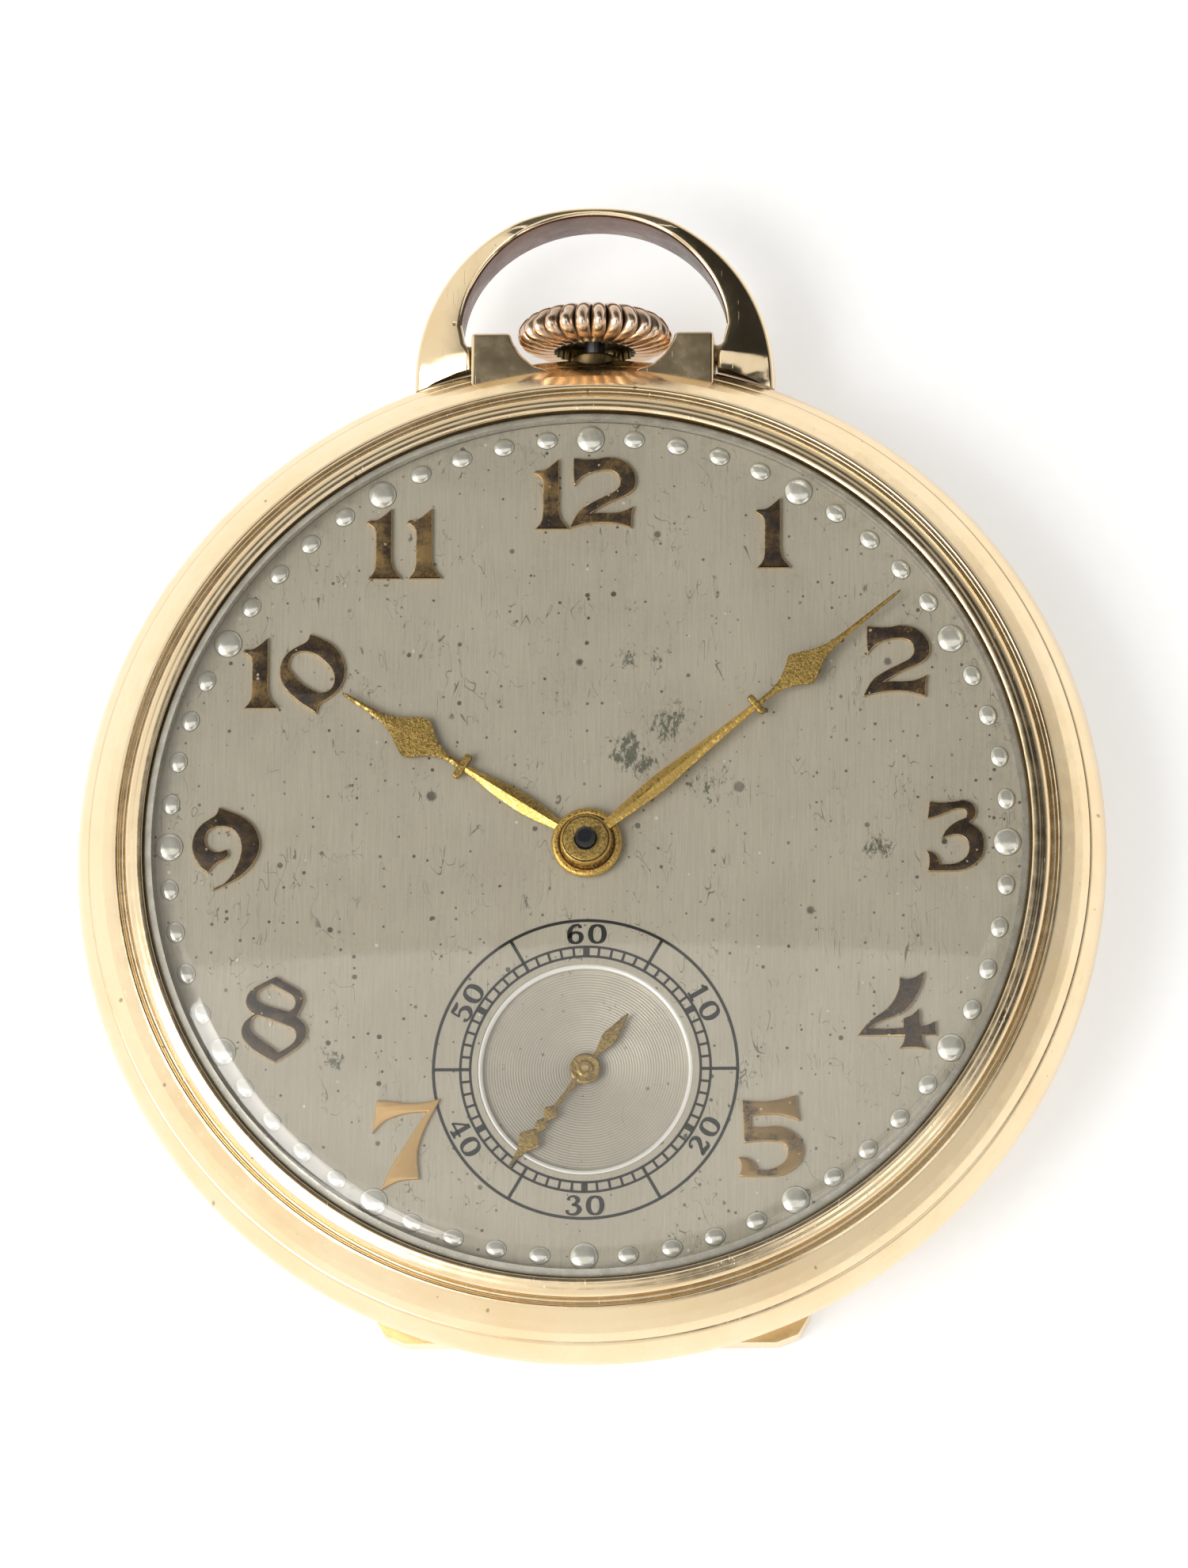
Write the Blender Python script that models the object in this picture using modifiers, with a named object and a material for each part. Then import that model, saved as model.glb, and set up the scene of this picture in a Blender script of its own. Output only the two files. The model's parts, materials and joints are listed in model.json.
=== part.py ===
"""Open face pocket watch, lying on its back.

The origin is the centre of the flat case back, +Z points out of the dial and +Y points to
12 o'clock. Lengths below are in millimetres; MM turns them into metres.
"""
import math

import bmesh
import bpy
from mathutils import Matrix, Vector

MM = 0.001
MERGE = 1e-6                 # merge distance of the turned shapes, in metres

# ---- driving dimensions -------------------------------------------------------------------
CASE_RADIUS = 22.27          # widest radius of the middle ring
CASE_WIDEST_Z = 4.3          # height at which the ring is widest
JOINT_Z = 5.87               # height of the joint between the bezel and the ring
JOINT_RADIUS = 21.62
BACK_JOINT_Z = 3.42          # height of the joint between the ring and the back
FIT_GAP = 0.08               # gap between neighbours that touch on the real watch

DIAL_TOP = 6.8
DIAL_RADIUS = 18.8
DIAL_THICKNESS = 0.4
SECONDS_SINK = 0.25          # depth of the sunk seconds dial
SECONDS_SINK_RADIUS = 4.5
CRYSTAL_RADIUS = 19.05
CRYSTAL_APEX = 9.35

PLATE_RADIUS = 19.9
PLATE_LOW, PLATE_HIGH = 4.9, 6.28
MOTION_FLOOR = 5.35          # floor of the recess under the dial that holds the motion work
BRIDGE_RADIUS = 18.6
BRIDGE_LOW, BRIDGE_HIGH = 2.5, 3.3
WINDING_LOW, WINDING_HIGH = 2.02, 2.4
STEM_Z = 4.4                 # height of the winding stem
PENDANT_Z_LOW, PENDANT_Z_HIGH = 2.6, 6.2
BOW_Z_LOW, BOW_Z_HIGH = 2.9, 5.9
BOW_PIVOT = (0.0, 22.45, STEM_Z)
STRUT_HINGE = (0.0, -4.6, 0.55)
STRUT_FOOT_Y = -20.75

# ---- gear train: tooth counts, modules and axes (x, y) -------------------------------------
BARREL_TEETH, CENTER_PINION_LEAVES, BARREL_MODULE = 78, 12, 0.19
CENTER_TEETH, THIRD_PINION_LEAVES, CENTER_MODULE = 80, 10, 0.155
THIRD_TEETH, FOURTH_PINION_LEAVES, THIRD_MODULE = 75, 10, 0.13
FOURTH_TEETH, ESCAPE_PINION_LEAVES, FOURTH_MODULE = 80, 8, 0.11
ESCAPE_TEETH, ESCAPE_RADIUS = 15, 3.1
CANNON_TEETH, MINUTE_TEETH, MOTION_MODULE = 12, 36, 0.16
MINUTE_PINION_LEAVES, HOUR_TEETH = 10, 40
SETTING_TEETH = 24
CROWN_WHEEL_TEETH, RATCHET_TEETH, WINDING_MODULE = 34, 52, 0.2


def centre_distance(teeth_a, teeth_b, module):
    return module * (teeth_a + teeth_b) / 2


def polar(radius, degrees, centre=(0.0, 0.0)):
    angle = math.radians(degrees)
    return centre[0] + radius * math.cos(angle), centre[1] + radius * math.sin(angle)


def circle_crossing(centre_a, radius_a, centre_b, radius_b):
    """The crossing of two circles that lies to the right of the line from a to b."""
    a, b = Vector(centre_a), Vector(centre_b)
    along = (b - a).normalized()
    reach = ((b - a).length_squared + radius_a**2 - radius_b**2) / (2 * (b - a).length)
    side = math.sqrt(radius_a**2 - reach**2)
    right = Vector((-along.y, along.x))
    return tuple(a + along * reach + right * side)


CENTER = (0.0, 0.0)
BARREL = polar(centre_distance(BARREL_TEETH, CENTER_PINION_LEAVES, BARREL_MODULE), 40.0)
FOURTH = (0.0, -9.87)
THIRD = circle_crossing(
    CENTER, centre_distance(CENTER_TEETH, THIRD_PINION_LEAVES, CENTER_MODULE),
    FOURTH, centre_distance(THIRD_TEETH, FOURTH_PINION_LEAVES, THIRD_MODULE))
ESCAPE = polar(centre_distance(FOURTH_TEETH, ESCAPE_PINION_LEAVES, FOURTH_MODULE), 170.0, FOURTH)
ESCAPEMENT_LINE = 125.0      # direction from the escape wheel over the pallets to the balance
PALLET = polar(3.6, ESCAPEMENT_LINE, ESCAPE)
BALANCE = polar(3.9, ESCAPEMENT_LINE, PALLET)
MINUTE = (0.0, centre_distance(CANNON_TEETH, MINUTE_TEETH, MOTION_MODULE))
SETTING = (0.0, MINUTE[1] + centre_distance(MINUTE_TEETH, SETTING_TEETH, MOTION_MODULE))
HOUR_MODULE = 2 * MINUTE[1] / (MINUTE_PINION_LEAVES + HOUR_TEETH)
CROWN_WHEEL = (0.0, BARREL[1] + math.sqrt(
    centre_distance(CROWN_WHEEL_TEETH, RATCHET_TEETH, WINDING_MODULE)**2 - BARREL[0]**2))
CLICK = polar(7.6, 28.0, BARREL)
SETTING_LEVER = (3.0, 15.52)

# ---- rest angles of the hands, in degrees clockwise from 12 --------------------------------
HOUR_ANGLE = 302.3
MINUTE_ANGLE = 50.7
SECONDS_ANGLE = 217.2

COLORS = {                   # name: (red, green, blue), metallic, roughness
    "gold_case": ((0.80, 0.62, 0.36), 1.0, 0.22),
    "rose_gold": ((0.72, 0.45, 0.30), 1.0, 0.32),
    "gold_hands": ((0.66, 0.46, 0.16), 1.0, 0.38),
    "silvered_dial": ((0.53, 0.50, 0.45), 0.35, 0.50),
    "glass": ((0.95, 0.97, 0.97), 0.0, 0.03),
    "nickel": ((0.62, 0.61, 0.58), 1.0, 0.30),
    "brass": ((0.72, 0.55, 0.27), 1.0, 0.30),
    "steel": ((0.40, 0.41, 0.43), 1.0, 0.25),
    "blued_steel": ((0.05, 0.08, 0.22), 1.0, 0.28),
    "ruby": ((0.55, 0.03, 0.10), 0.0, 0.08),
}


# ---- scene and shape helpers ----------------------------------------------------------------
def clear_scene():
    for obj in list(bpy.data.objects):
        bpy.data.objects.remove(obj, do_unlink=True)


def new_collection(name):
    collection = bpy.data.collections.new(name)
    bpy.context.scene.collection.children.link(collection)
    return collection


def make_material(name):
    color, metallic, roughness = COLORS[name]
    material = bpy.data.materials.new(name)
    material.use_nodes = True
    shader = material.node_tree.nodes["Principled BSDF"]
    shader.inputs["Base Color"].default_value = (*color, 1.0)
    shader.inputs["Metallic"].default_value = metallic
    shader.inputs["Roughness"].default_value = roughness
    material.diffuse_color = (*color, 1.0)
    return material


clear_scene()
WATCH = new_collection("pocket_watch")
CUTTERS = new_collection("cutters")
MATERIALS = {name: make_material(name) for name in COLORS}


def add_object(name, mesh, material, at=(0.0, 0.0, 0.0)):
    """Put a mesh in the watch, with its origin at a point given in millimetres."""
    obj = bpy.data.objects.new(name, mesh)
    obj.location = Vector(at) * MM
    if not mesh.materials:
        mesh.materials.append(MATERIALS[material])
    WATCH.objects.link(obj)
    return obj


def as_tool(obj):
    """Turn an object into a cutter or a joined shape that isn't a part itself."""
    WATCH.objects.unlink(obj)
    CUTTERS.objects.link(obj)
    obj.hide_render = True
    obj.display_type = "WIRE"
    return obj


def boolean(target, tools, operation):
    for tool in tools:
        modifier = target.modifiers.new(tool.name, "BOOLEAN")
        modifier.operation = operation
        modifier.object = as_tool(tool) if tool.name in WATCH.objects else tool
    return target


def join(target, *others):
    return boolean(target, others, "UNION")


def cut(target, *cutters):
    return boolean(target, cutters, "DIFFERENCE")


def turned(name, profile, material, at=(0.0, 0.0, 0.0), steps=40, closed=False, axis="Z"):
    """Turn a profile of (radius, height) points round an axis through a point.

    The points run down the outer side, top to bottom. An open profile starts and ends on the
    axis, a closed one goes round a ring.
    """
    mesh = bpy.data.meshes.new(name)
    points = [(radius * MM, 0.0, height * MM) for radius, height in profile]
    edges = [(i, i + 1) for i in range(len(points) - 1)]
    if closed:
        edges.append((len(points) - 1, 0))
    mesh.from_pydata(points, edges, [])
    obj = add_object(name, mesh, material, at)
    screw = obj.modifiers.new("turn", "SCREW")
    screw.steps = steps
    screw.render_steps = steps
    screw.use_merge_vertices = True
    screw.merge_threshold = MERGE
    screw.use_smooth_shade = True
    if axis == "Y":
        obj.rotation_euler.x = -math.pi / 2
    elif axis == "X":
        obj.rotation_euler.y = math.pi / 2
    return obj


def rod(name, radius, low, high, material="steel", at=(0.0, 0.0, 0.0), steps=12, axis="Z"):
    profile = [(0.0, high), (radius, high), (radius, low), (0.0, low)]
    return turned(name, profile, material, at, steps, axis=axis)


def ring(name, outer, inner, low, high, material, at=(0.0, 0.0, 0.0), steps=16, axis="Z"):
    profile = [(outer, high), (outer, low), (inner, low), (inner, high)]
    return turned(name, profile, material, at, steps, closed=True, axis=axis)


def plate(name, outlines, low, high, material, at=(0.0, 0.0)):
    """Extrude flat outlines from low to high; inner outlines are holes.

    Outline points are measured from the piece's own axis at (x, y).
    """
    curve = bpy.data.curves.new(name, "CURVE")
    curve.dimensions = "2D"
    curve.fill_mode = "BOTH"
    curve.extrude = (high - low) / 2 * MM
    curve.resolution_u = 1
    for outline in outlines:
        spline = curve.splines.new("POLY")
        spline.points.add(len(outline) - 1)
        for point, (x, y) in zip(spline.points, outline):
            point.co = (x * MM, y * MM, 0.0, 1.0)
        spline.use_cyclic_u = True
    source = bpy.data.objects.new(name, curve)
    WATCH.objects.link(source)
    depsgraph = bpy.context.evaluated_depsgraph_get()
    mesh = bpy.data.meshes.new_from_object(source.evaluated_get(depsgraph))
    bpy.data.objects.remove(source)
    bpy.data.curves.remove(curve)
    mesh.transform(Matrix.Translation((0.0, 0.0, (low + high) / 2 * MM)))
    weld(mesh)
    return add_object(name, mesh, material, (at[0], at[1], 0.0))


def weld(mesh):
    shape = bmesh.new()
    shape.from_mesh(mesh)
    bmesh.ops.remove_doubles(shape, verts=shape.verts, dist=MERGE)
    bmesh.ops.recalc_face_normals(shape, faces=shape.faces)
    shape.to_mesh(mesh)
    shape.free()


def box(name, low, high, material="steel"):
    mesh = bpy.data.meshes.new(name)
    shape = bmesh.new()
    bmesh.ops.create_cube(shape, size=1.0)
    size = (Vector(high) - Vector(low)) * MM
    bmesh.ops.scale(shape, vec=size, verts=shape.verts)
    shape.to_mesh(mesh)
    shape.free()
    return add_object(name, mesh, material, (Vector(high) + Vector(low)) / 2)


def pose_at(obj, origin):
    """Move an object's origin to its joint, given in millimetres; the shape stays in place."""
    shift = Vector(origin) * MM - obj.location
    obj.data.transform(Matrix.Translation(-shift))
    obj.location += shift
    return obj


# ---- outline helpers ------------------------------------------------------------------------
def circle_points(radius, count, centre=(0.0, 0.0), start=0.0):
    return [polar(radius, start + 360.0 * i / count, centre) for i in range(count)]


def arc_points(radius, start, end, count, centre=(0.0, 0.0)):
    return [polar(radius, start + (end - start) * i / (count - 1), centre) for i in range(count)]


def mirrored(half):
    """Complete an outline from its left half, which starts and ends on the Y axis."""
    return half + [(-x, y) for x, y in reversed(half) if abs(x) > 1e-9]


def rotated(points, clockwise):
    """Turn an outline that points to 12 o'clock clockwise about the axis."""
    angle = -math.radians(clockwise)
    cos, sin = math.cos(angle), math.sin(angle)
    return [(x * cos - y * sin, x * sin + y * cos) for x, y in points]


def gear_outline(teeth, module, tip_at):
    """Pointed teeth round the pitch circle, with one tip in the direction tip_at."""
    pitch_radius = teeth * module / 2
    points = []
    for i in range(teeth):
        angle = tip_at + 360.0 * i / teeth
        points.append(polar(pitch_radius + 0.8 * module, angle))
        points.append(polar(pitch_radius - module, angle + 180.0 / teeth))
    return points


def spoke_windows(count, inner, outer, arm_width, phase=0.0):
    """Openings between the arms of a wheel, as outlines."""
    windows = []
    for i in range(count):
        start, end = phase + 360.0 * i / count, phase + 360.0 * (i + 1) / count
        margin_out = math.degrees(arm_width / 2 / outer)
        margin_in = math.degrees(arm_width / 2 / inner)
        outer_arc = arc_points(outer, start + margin_out, end - margin_out, 4)
        inner_arc = arc_points(inner, end - margin_in, start + margin_in, 2)
        windows.append(outer_arc + inner_arc)
    return windows


def half_windows(inner, outer, arm_width, phase):
    """The two openings of a wheel with a single straight arm across it."""
    windows = []
    for start in (phase, phase + 180.0):
        margin_out = math.degrees(arm_width / 2 / outer)
        margin_in = math.degrees(arm_width / 2 / inner)
        windows.append(arc_points(outer, start + margin_out, start + 180.0 - margin_out, 14)
                       + arc_points(inner, start + 180.0 - margin_in, start + margin_in, 4))
    return windows


def direction(a, b):
    return math.degrees(math.atan2(b[1] - a[1], b[0] - a[0]))


def gap_facing(teeth, at):
    """The tip angle that puts a gap between two teeth in the direction at."""
    return at + 180.0 / teeth


# ---- case -----------------------------------------------------------------------------------
RING_SIDE = [                # outer side of the middle ring, from the bezel joint to the back joint
    (JOINT_RADIUS, JOINT_Z - FIT_GAP), (22.02, 5.2), (22.2, 4.78),
    (CASE_RADIUS, CASE_WIDEST_Z), (22.2, 3.85), (22.02, BACK_JOINT_Z)]
BEZEL_FACE = [               # from the crystal seat over the crest and groove down to the joint
    (19.15, 7.62), (19.35, 7.66), (19.78, 7.40), (19.86, 7.10), (20.15, 7.04),
    (20.30, 7.22), (20.95, 6.66), (JOINT_RADIUS, JOINT_Z)]


def make_case_center():
    profile = [(20.05, 6.38), (20.85, 6.38), (20.85, JOINT_Z - FIT_GAP)] + RING_SIDE
    profile.append((20.05, BACK_JOINT_Z))
    body = turned("case_center", profile, "gold_case", closed=True)
    stem_hole = rod("stem_hole", 1.13, 18.5, 24.0, axis="Y", at=(0.0, 0.0, STEM_Z))
    return cut(body, stem_hole)


def make_bezel():
    inner = [(20.93, JOINT_Z), (20.93, 6.46), (18.87, 6.46), (18.87, 6.98), (19.15, 6.98)]
    return turned("bezel", BEZEL_FACE + inner, "gold_case", closed=True)


def dome(radius, edge_height, apex, count):
    """Points of a shallow dome from its apex to its edge."""
    points = []
    for i in range(count + 1):
        share = i / count
        points.append((radius * share, apex - (apex - edge_height) * share**2))
    return points


def make_crystal():
    outer = dome(18.4, 7.85, CRYSTAL_APEX, 4)
    edge = [(CRYSTAL_RADIUS, 7.5), (CRYSTAL_RADIUS, 7.04)]
    inner = [(18.5, 7.04)] + dome(18.1, 7.5, CRYSTAL_APEX - 0.4, 3)[::-1]
    return turned("crystal", outer + edge + inner, "glass")


BACK_SIDE = [(21.9, 3.34), (21.75, 2.75), (21.3, 2.0), (20.4, 1.2), (19.0, 0.55), (17.4, 0.13),
             (16.4, 0.0)]


def strut_outline(grow):
    """Tapered outline of the folding strut, grown by a margin for its pocket."""
    hinge_y = STRUT_HINGE[1] + 0.45 + grow
    foot_y = STRUT_FOOT_Y - grow
    side = 9.4 + grow
    half = [(-5.0 - grow, hinge_y), (-5.6 - grow, hinge_y - 1.0),
            (-side, foot_y + 2.6), (-side, foot_y + 1.2), (-side + 0.5, foot_y + 0.35),
            (-side + 1.4, foot_y)]
    return mirrored(half)


def make_case_back():
    """A stamped back with a pressed pocket for the strut and two lugs for its hinge."""
    body = turned("case_back", [(0.0, 3.34)] + BACK_SIDE + [(0.0, 0.0)], "gold_case")
    inside = [(0.0, 4.0), (20.55, 4.0), (20.55, 3.0), (20.0, 2.15), (18.6, 1.2), (16.4, 0.75),
              (0.0, 0.7)]
    hollow = turned("back_hollow", inside, "gold_case")
    wall = 0.55
    pressing = plate("back_pressing", [strut_outline(0.25 + wall)], -1.0, 1.05 + wall, "gold_case")
    rim_pressing = box("back_rim_pressing", (-10.2, -25.0, -1.0), (10.2, -18.6, 1.65 + wall))
    pocket = plate("back_pocket", [strut_outline(0.25)], -1.0, 1.05, "gold_case")
    rim_pocket = box("back_rim_pocket", (-9.65, -26.0, -1.0), (9.65, -19.3, 1.65))
    cut(hollow, pressing, rim_pressing)
    cut(body, hollow, pocket, rim_pocket)
    for side in (-1, 1):
        centre_x = 3.1 * side
        lug = box(f"back_lug_{side}", (centre_x - 1.3, STRUT_HINGE[1] - 0.35, 0.2),
                  (centre_x + 1.3, STRUT_HINGE[1] + 0.35, 1.3))
        join(body, lug)
    pin_hole = rod("back_pin_hole", 0.2, -4.3, 4.3, axis="X", at=STRUT_HINGE, steps=12)
    return cut(body, pin_hole)


def make_strut():
    """Folding strut: a thin tongue with a raised lip round its foot and a hinge knuckle."""
    strut = plate("strut", [strut_outline(0.0)], 0.15, 1.4, "gold_case")
    lip_top, lip_width, far = STRUT_FOOT_Y + 1.45, 0.45, 12.0
    tray = [point for point in strut_outline(-lip_width) if point[1] < lip_top]
    corner = tray[0][0]
    slope_top = lip_top + 0.6
    tray = [(-far, far), (-far, slope_top), (corner, lip_top)] + tray
    tray += [(-corner, lip_top), (far, slope_top), (far, far)]
    room_for_lugs = box("strut_lug_room", (-4.6, STRUT_HINGE[1] - 0.6, -1.0),
                        (4.6, STRUT_HINGE[1] + 1.0, 2.0))
    tongue = box("strut_tongue", (-1.4, STRUT_HINGE[1] - 0.9, 0.18),
                 (1.4, STRUT_HINGE[1] - 0.05, 0.52))
    knuckle = rod("strut_knuckle", 0.4, -1.55, 1.55, axis="X", at=STRUT_HINGE, steps=16)
    pin_hole = rod("strut_pin_hole", 0.2, -3.0, 3.0, axis="X", at=STRUT_HINGE, steps=12)
    cut(strut, plate("strut_tray", [tray], 0.6, 3.0, "gold_case"), room_for_lugs)
    join(strut, tongue, knuckle)
    cut(strut, pin_hole)
    return pose_at(strut, STRUT_HINGE)


def case_envelope(name, gap, at=(0.0, 0.0, 0.0)):
    """The closed outer shape of the case, grown by a gap, for pieces that sit against it."""
    sides = [(r + gap, z) for r, z in BEZEL_FACE[5:] + RING_SIDE[1:] + BACK_SIDE[1:4]]
    return turned(name, [(0.0, 7.6), (20.2, 7.6)] + sides + [(0.0, 0.5)], "gold_case", at)


def make_pendant_horns():
    """Two solid lugs on the ring, one on each side of the crown."""
    outline = [(-5.27, 20.2), (-5.27, 23.05), (-3.6, 23.05), (-3.5, 22.7), (-3.15, 22.1),
               (-2.6, 21.6), (-1.9, 21.4), (-1.9, 20.2)]
    horns = []
    for name, side in (("pendant_horn_left", 1), ("pendant_horn_right", -1)):
        horn = plate(name, [[(side * x, y) for x, y in outline]], PENDANT_Z_LOW, PENDANT_Z_HIGH,
                     "gold_case")
        bevel = horn.modifiers.new("edge", "BEVEL")
        bevel.width = 0.12 * MM
        bevel.segments = 1
        pin_hole = rod(f"{name}_pin_hole", 0.55, -7.0, -4.3, axis="X", at=BOW_PIVOT, steps=16)
        if side < 0:
            pin_hole.rotation_euler.y = -math.pi / 2
        cut(horn, case_envelope(f"{name}_seat", FIT_GAP / 2), pin_hole)
        horns.append(horn)
    return horns


BOW_SWING = (-40.0, 15.0)    # degrees, backwards and towards the dial


def bow_outline():
    """A stirrup: thin over the top and wide at its two ends."""
    outer_centre, outer_a, outer_b, power = 21.0, 7.85, 7.82, 2.15
    inner_centre, inner_a, inner_b = 23.3, 5.8, 5.1
    steps = 12
    outer = []
    for i in range(steps + 1):
        t = math.pi / 2 * i / steps
        outer.append((-outer_a * math.cos(t)**(2 / power),
                      outer_centre + outer_b * math.sin(t)**(2 / power)))
    inner = []
    for i in range(steps + 1):
        t = math.pi / 2 * (steps - i) / steps
        inner.append((-inner_a * math.cos(t), inner_centre + inner_b * math.sin(t)))
    left_outer = outer[:-1]
    left_inner = inner[1:] + [(-5.37, 22.6), (-5.37, 20.6)]
    start = [(-outer_a, 20.4)]
    half_out = start + left_outer
    right_out = [(-x, y) for x, y in reversed(half_out)]
    right_in = [(-x, y) for x, y in left_inner]
    return half_out + [outer[-1]] + right_out + right_in[::-1] + [(0.0, inner[0][1])] + left_inner


def make_bow():
    bow = plate("bow", [bow_outline()], BOW_Z_LOW, BOW_Z_HIGH, "gold_case")
    swings = (BOW_SWING[0], BOW_SWING[0] / 2, 0.0, BOW_SWING[1])
    for i, swing in enumerate(swings):
        seat = case_envelope(f"bow_seat_{i}", 0.1)
        pivot = Vector(BOW_PIVOT) * MM
        turn = Matrix.Translation(pivot) @ Matrix.Rotation(math.radians(-swing), 4, "X")
        seat.matrix_world = turn @ Matrix.Translation(-pivot)
        cut(bow, seat)
    for side in (-1, 1):
        low, high = sorted((side * 5.0, side * 6.35))
        hole = rod(f"bow_hole_{side}", 0.55, low, high, axis="X", at=BOW_PIVOT, steps=16)
        cut(bow, hole)
    return pose_at(bow, BOW_PIVOT)


def make_bow_pins():
    for name, side in (("bow_pin_left", -1), ("bow_pin_right", 1)):
        low, high = sorted((side * 4.4, side * 6.25))
        rod(name, 0.48, low, high, "gold_case", BOW_PIVOT, steps=16, axis="X")


def make_pendant_sleeve():
    profile = [(1.05, 22.36), (1.05, 19.2), (0.72, 19.2), (0.72, 22.36)]
    return turned("pendant_sleeve", profile, "gold_case", (0.0, 0.0, STEM_Z), 24, True, "Y")


# ---- winding and setting --------------------------------------------------------------------
CROWN_FLUTES = 26
CROWN_LOW, CROWN_HIGH, CROWN_RADIUS = 22.6, 24.3, 3.38


def make_crown():
    """Pumpkin shape with rounded flutes and a socket for the stem."""
    shoulder = [(0.0, CROWN_HIGH), (2.0, CROWN_HIGH - 0.02), (2.9, CROWN_HIGH - 0.22),
                (3.29, CROWN_HIGH - 0.58), (CROWN_RADIUS, CROWN_HIGH - 0.95)]
    skirt = [(3.17, CROWN_LOW + 0.36), (2.55, CROWN_LOW + 0.07), (1.5, CROWN_LOW)]
    socket = [(1.5, CROWN_LOW + 0.2), (0.52, CROWN_LOW + 0.2), (0.52, CROWN_HIGH - 0.7),
              (0.0, CROWN_HIGH - 0.7)]
    profile = shoulder + skirt + socket
    crown = turned("crown_blank", profile, "rose_gold", steps=2 * CROWN_FLUTES, axis="Z")
    bpy.context.view_layer.update()
    depsgraph = bpy.context.evaluated_depsgraph_get()
    mesh = bpy.data.meshes.new_from_object(crown.evaluated_get(depsgraph))
    bpy.data.objects.remove(crown)
    step = math.pi / CROWN_FLUTES
    for vertex in mesh.vertices:
        radius = vertex.co.xy.length / MM
        turn = round(math.atan2(vertex.co.y, vertex.co.x) / step)
        if turn % 2 and radius > 1.95:
            vertex.co.xy *= 1.0 - 0.26 / radius
    crown = add_object("crown", mesh, "rose_gold", (0.0, 0.0, STEM_Z))
    crown.rotation_euler.x = -math.pi / 2
    return crown


def make_winding_stem():
    """Stem from the crown to the plate, with a square in the pinion and a groove for the lever."""
    profile = [(0.0, CROWN_HIGH - 0.85), (0.45, CROWN_HIGH - 0.85), (0.45, 21.0), (0.6, 20.8),
               (0.6, 15.9), (0.32, 15.9), (0.32, 15.2), (0.6, 15.2), (0.6, 14.6), (0.4, 14.6),
               (0.4, 10.2), (0.0, 10.2)]
    return turned("winding_stem", profile, "steel", (0.0, 0.0, STEM_Z), 20, axis="Y")


def toothed_ring(name, outer, inner, low, high, teeth, at, axis):
    """A ring with pointed teeth round it, along an axis through a point."""
    outline = []
    for i in range(teeth):
        outline.append(polar(outer, 360.0 * i / teeth))
        outline.append(polar(outer - 0.3, 360.0 * (i + 0.5) / teeth))
    body = plate(name, [outline, circle_points(inner, 12)], low, high, "steel")
    body.location = Vector(at) * MM
    if axis == "Y":
        body.rotation_euler.x = -math.pi / 2
    return body


def make_winding_parts():
    toothed_ring("winding_pinion", 1.85, 0.47, 13.25, 14.3, 18, (0.0, 0.0, STEM_Z), "Y")
    toothed_ring("clutch_wheel", 1.0, 0.47, 11.4, 12.7, 12, (0.0, 0.0, STEM_Z), "Y")


def make_winding_wheels():
    line = direction(CROWN_WHEEL, BARREL)
    crown_wheel = plate(
        "crown_wheel",
        [gear_outline(CROWN_WHEEL_TEETH, WINDING_MODULE, line), circle_points(0.75, 12)],
        WINDING_LOW, WINDING_HIGH, "steel", CROWN_WHEEL)
    ratchet = plate(
        "ratchet_wheel",
        [gear_outline(RATCHET_TEETH, WINDING_MODULE, gap_facing(RATCHET_TEETH, line + 180.0)),
         circle_points(0.85, 12)],
        WINDING_LOW, WINDING_HIGH, "steel", BARREL)
    return crown_wheel, ratchet


def make_click():
    """A pawl that drops between the teeth of the ratchet wheel."""
    inward = direction(CLICK, BARREL)
    tip = polar(2.02, inward + 14.0)
    outline = [tip, polar(0.9, inward + 55.0)] + arc_points(0.75, inward + 90.0, inward + 290.0, 7)
    outline.append(polar(1.5, inward - 12.0))
    return plate("click", [outline, circle_points(0.3, 8)], WINDING_LOW, WINDING_HIGH, "steel",
                 CLICK)


def make_click_spring():
    """A thin bent strip that presses on the back of the click."""
    away = direction(BARREL, CLICK)
    start = polar(1.05, away - 30.0, CLICK)
    bend = polar(8.4, direction(BARREL, start) - 18.0, BARREL)
    end = polar(7.4, direction(BARREL, start) - 36.0, BARREL)
    width = 0.28
    outer = [polar(width, away, p) for p in (start, bend, end)]
    return plate("click_spring", [[start, bend, end] + outer[::-1]], WINDING_LOW + 0.05,
                 WINDING_HIGH, "steel")


def make_setting_parts():
    plate("setting_wheel",
          [gear_outline(SETTING_TEETH, MOTION_MODULE, 270.0), circle_points(0.5, 10)],
          5.5, 5.85, "steel", SETTING)
    lever = [(-2.55, 0.18), (-2.55, -0.12), (-0.6, -0.5), (0.5, -0.6), (0.7, 0.2), (0.3, 0.7),
             (-0.5, 0.6)]
    plate("setting_lever", [lever, circle_points(0.3, 8)], 4.2, 4.6, "steel", SETTING_LEVER)


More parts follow.
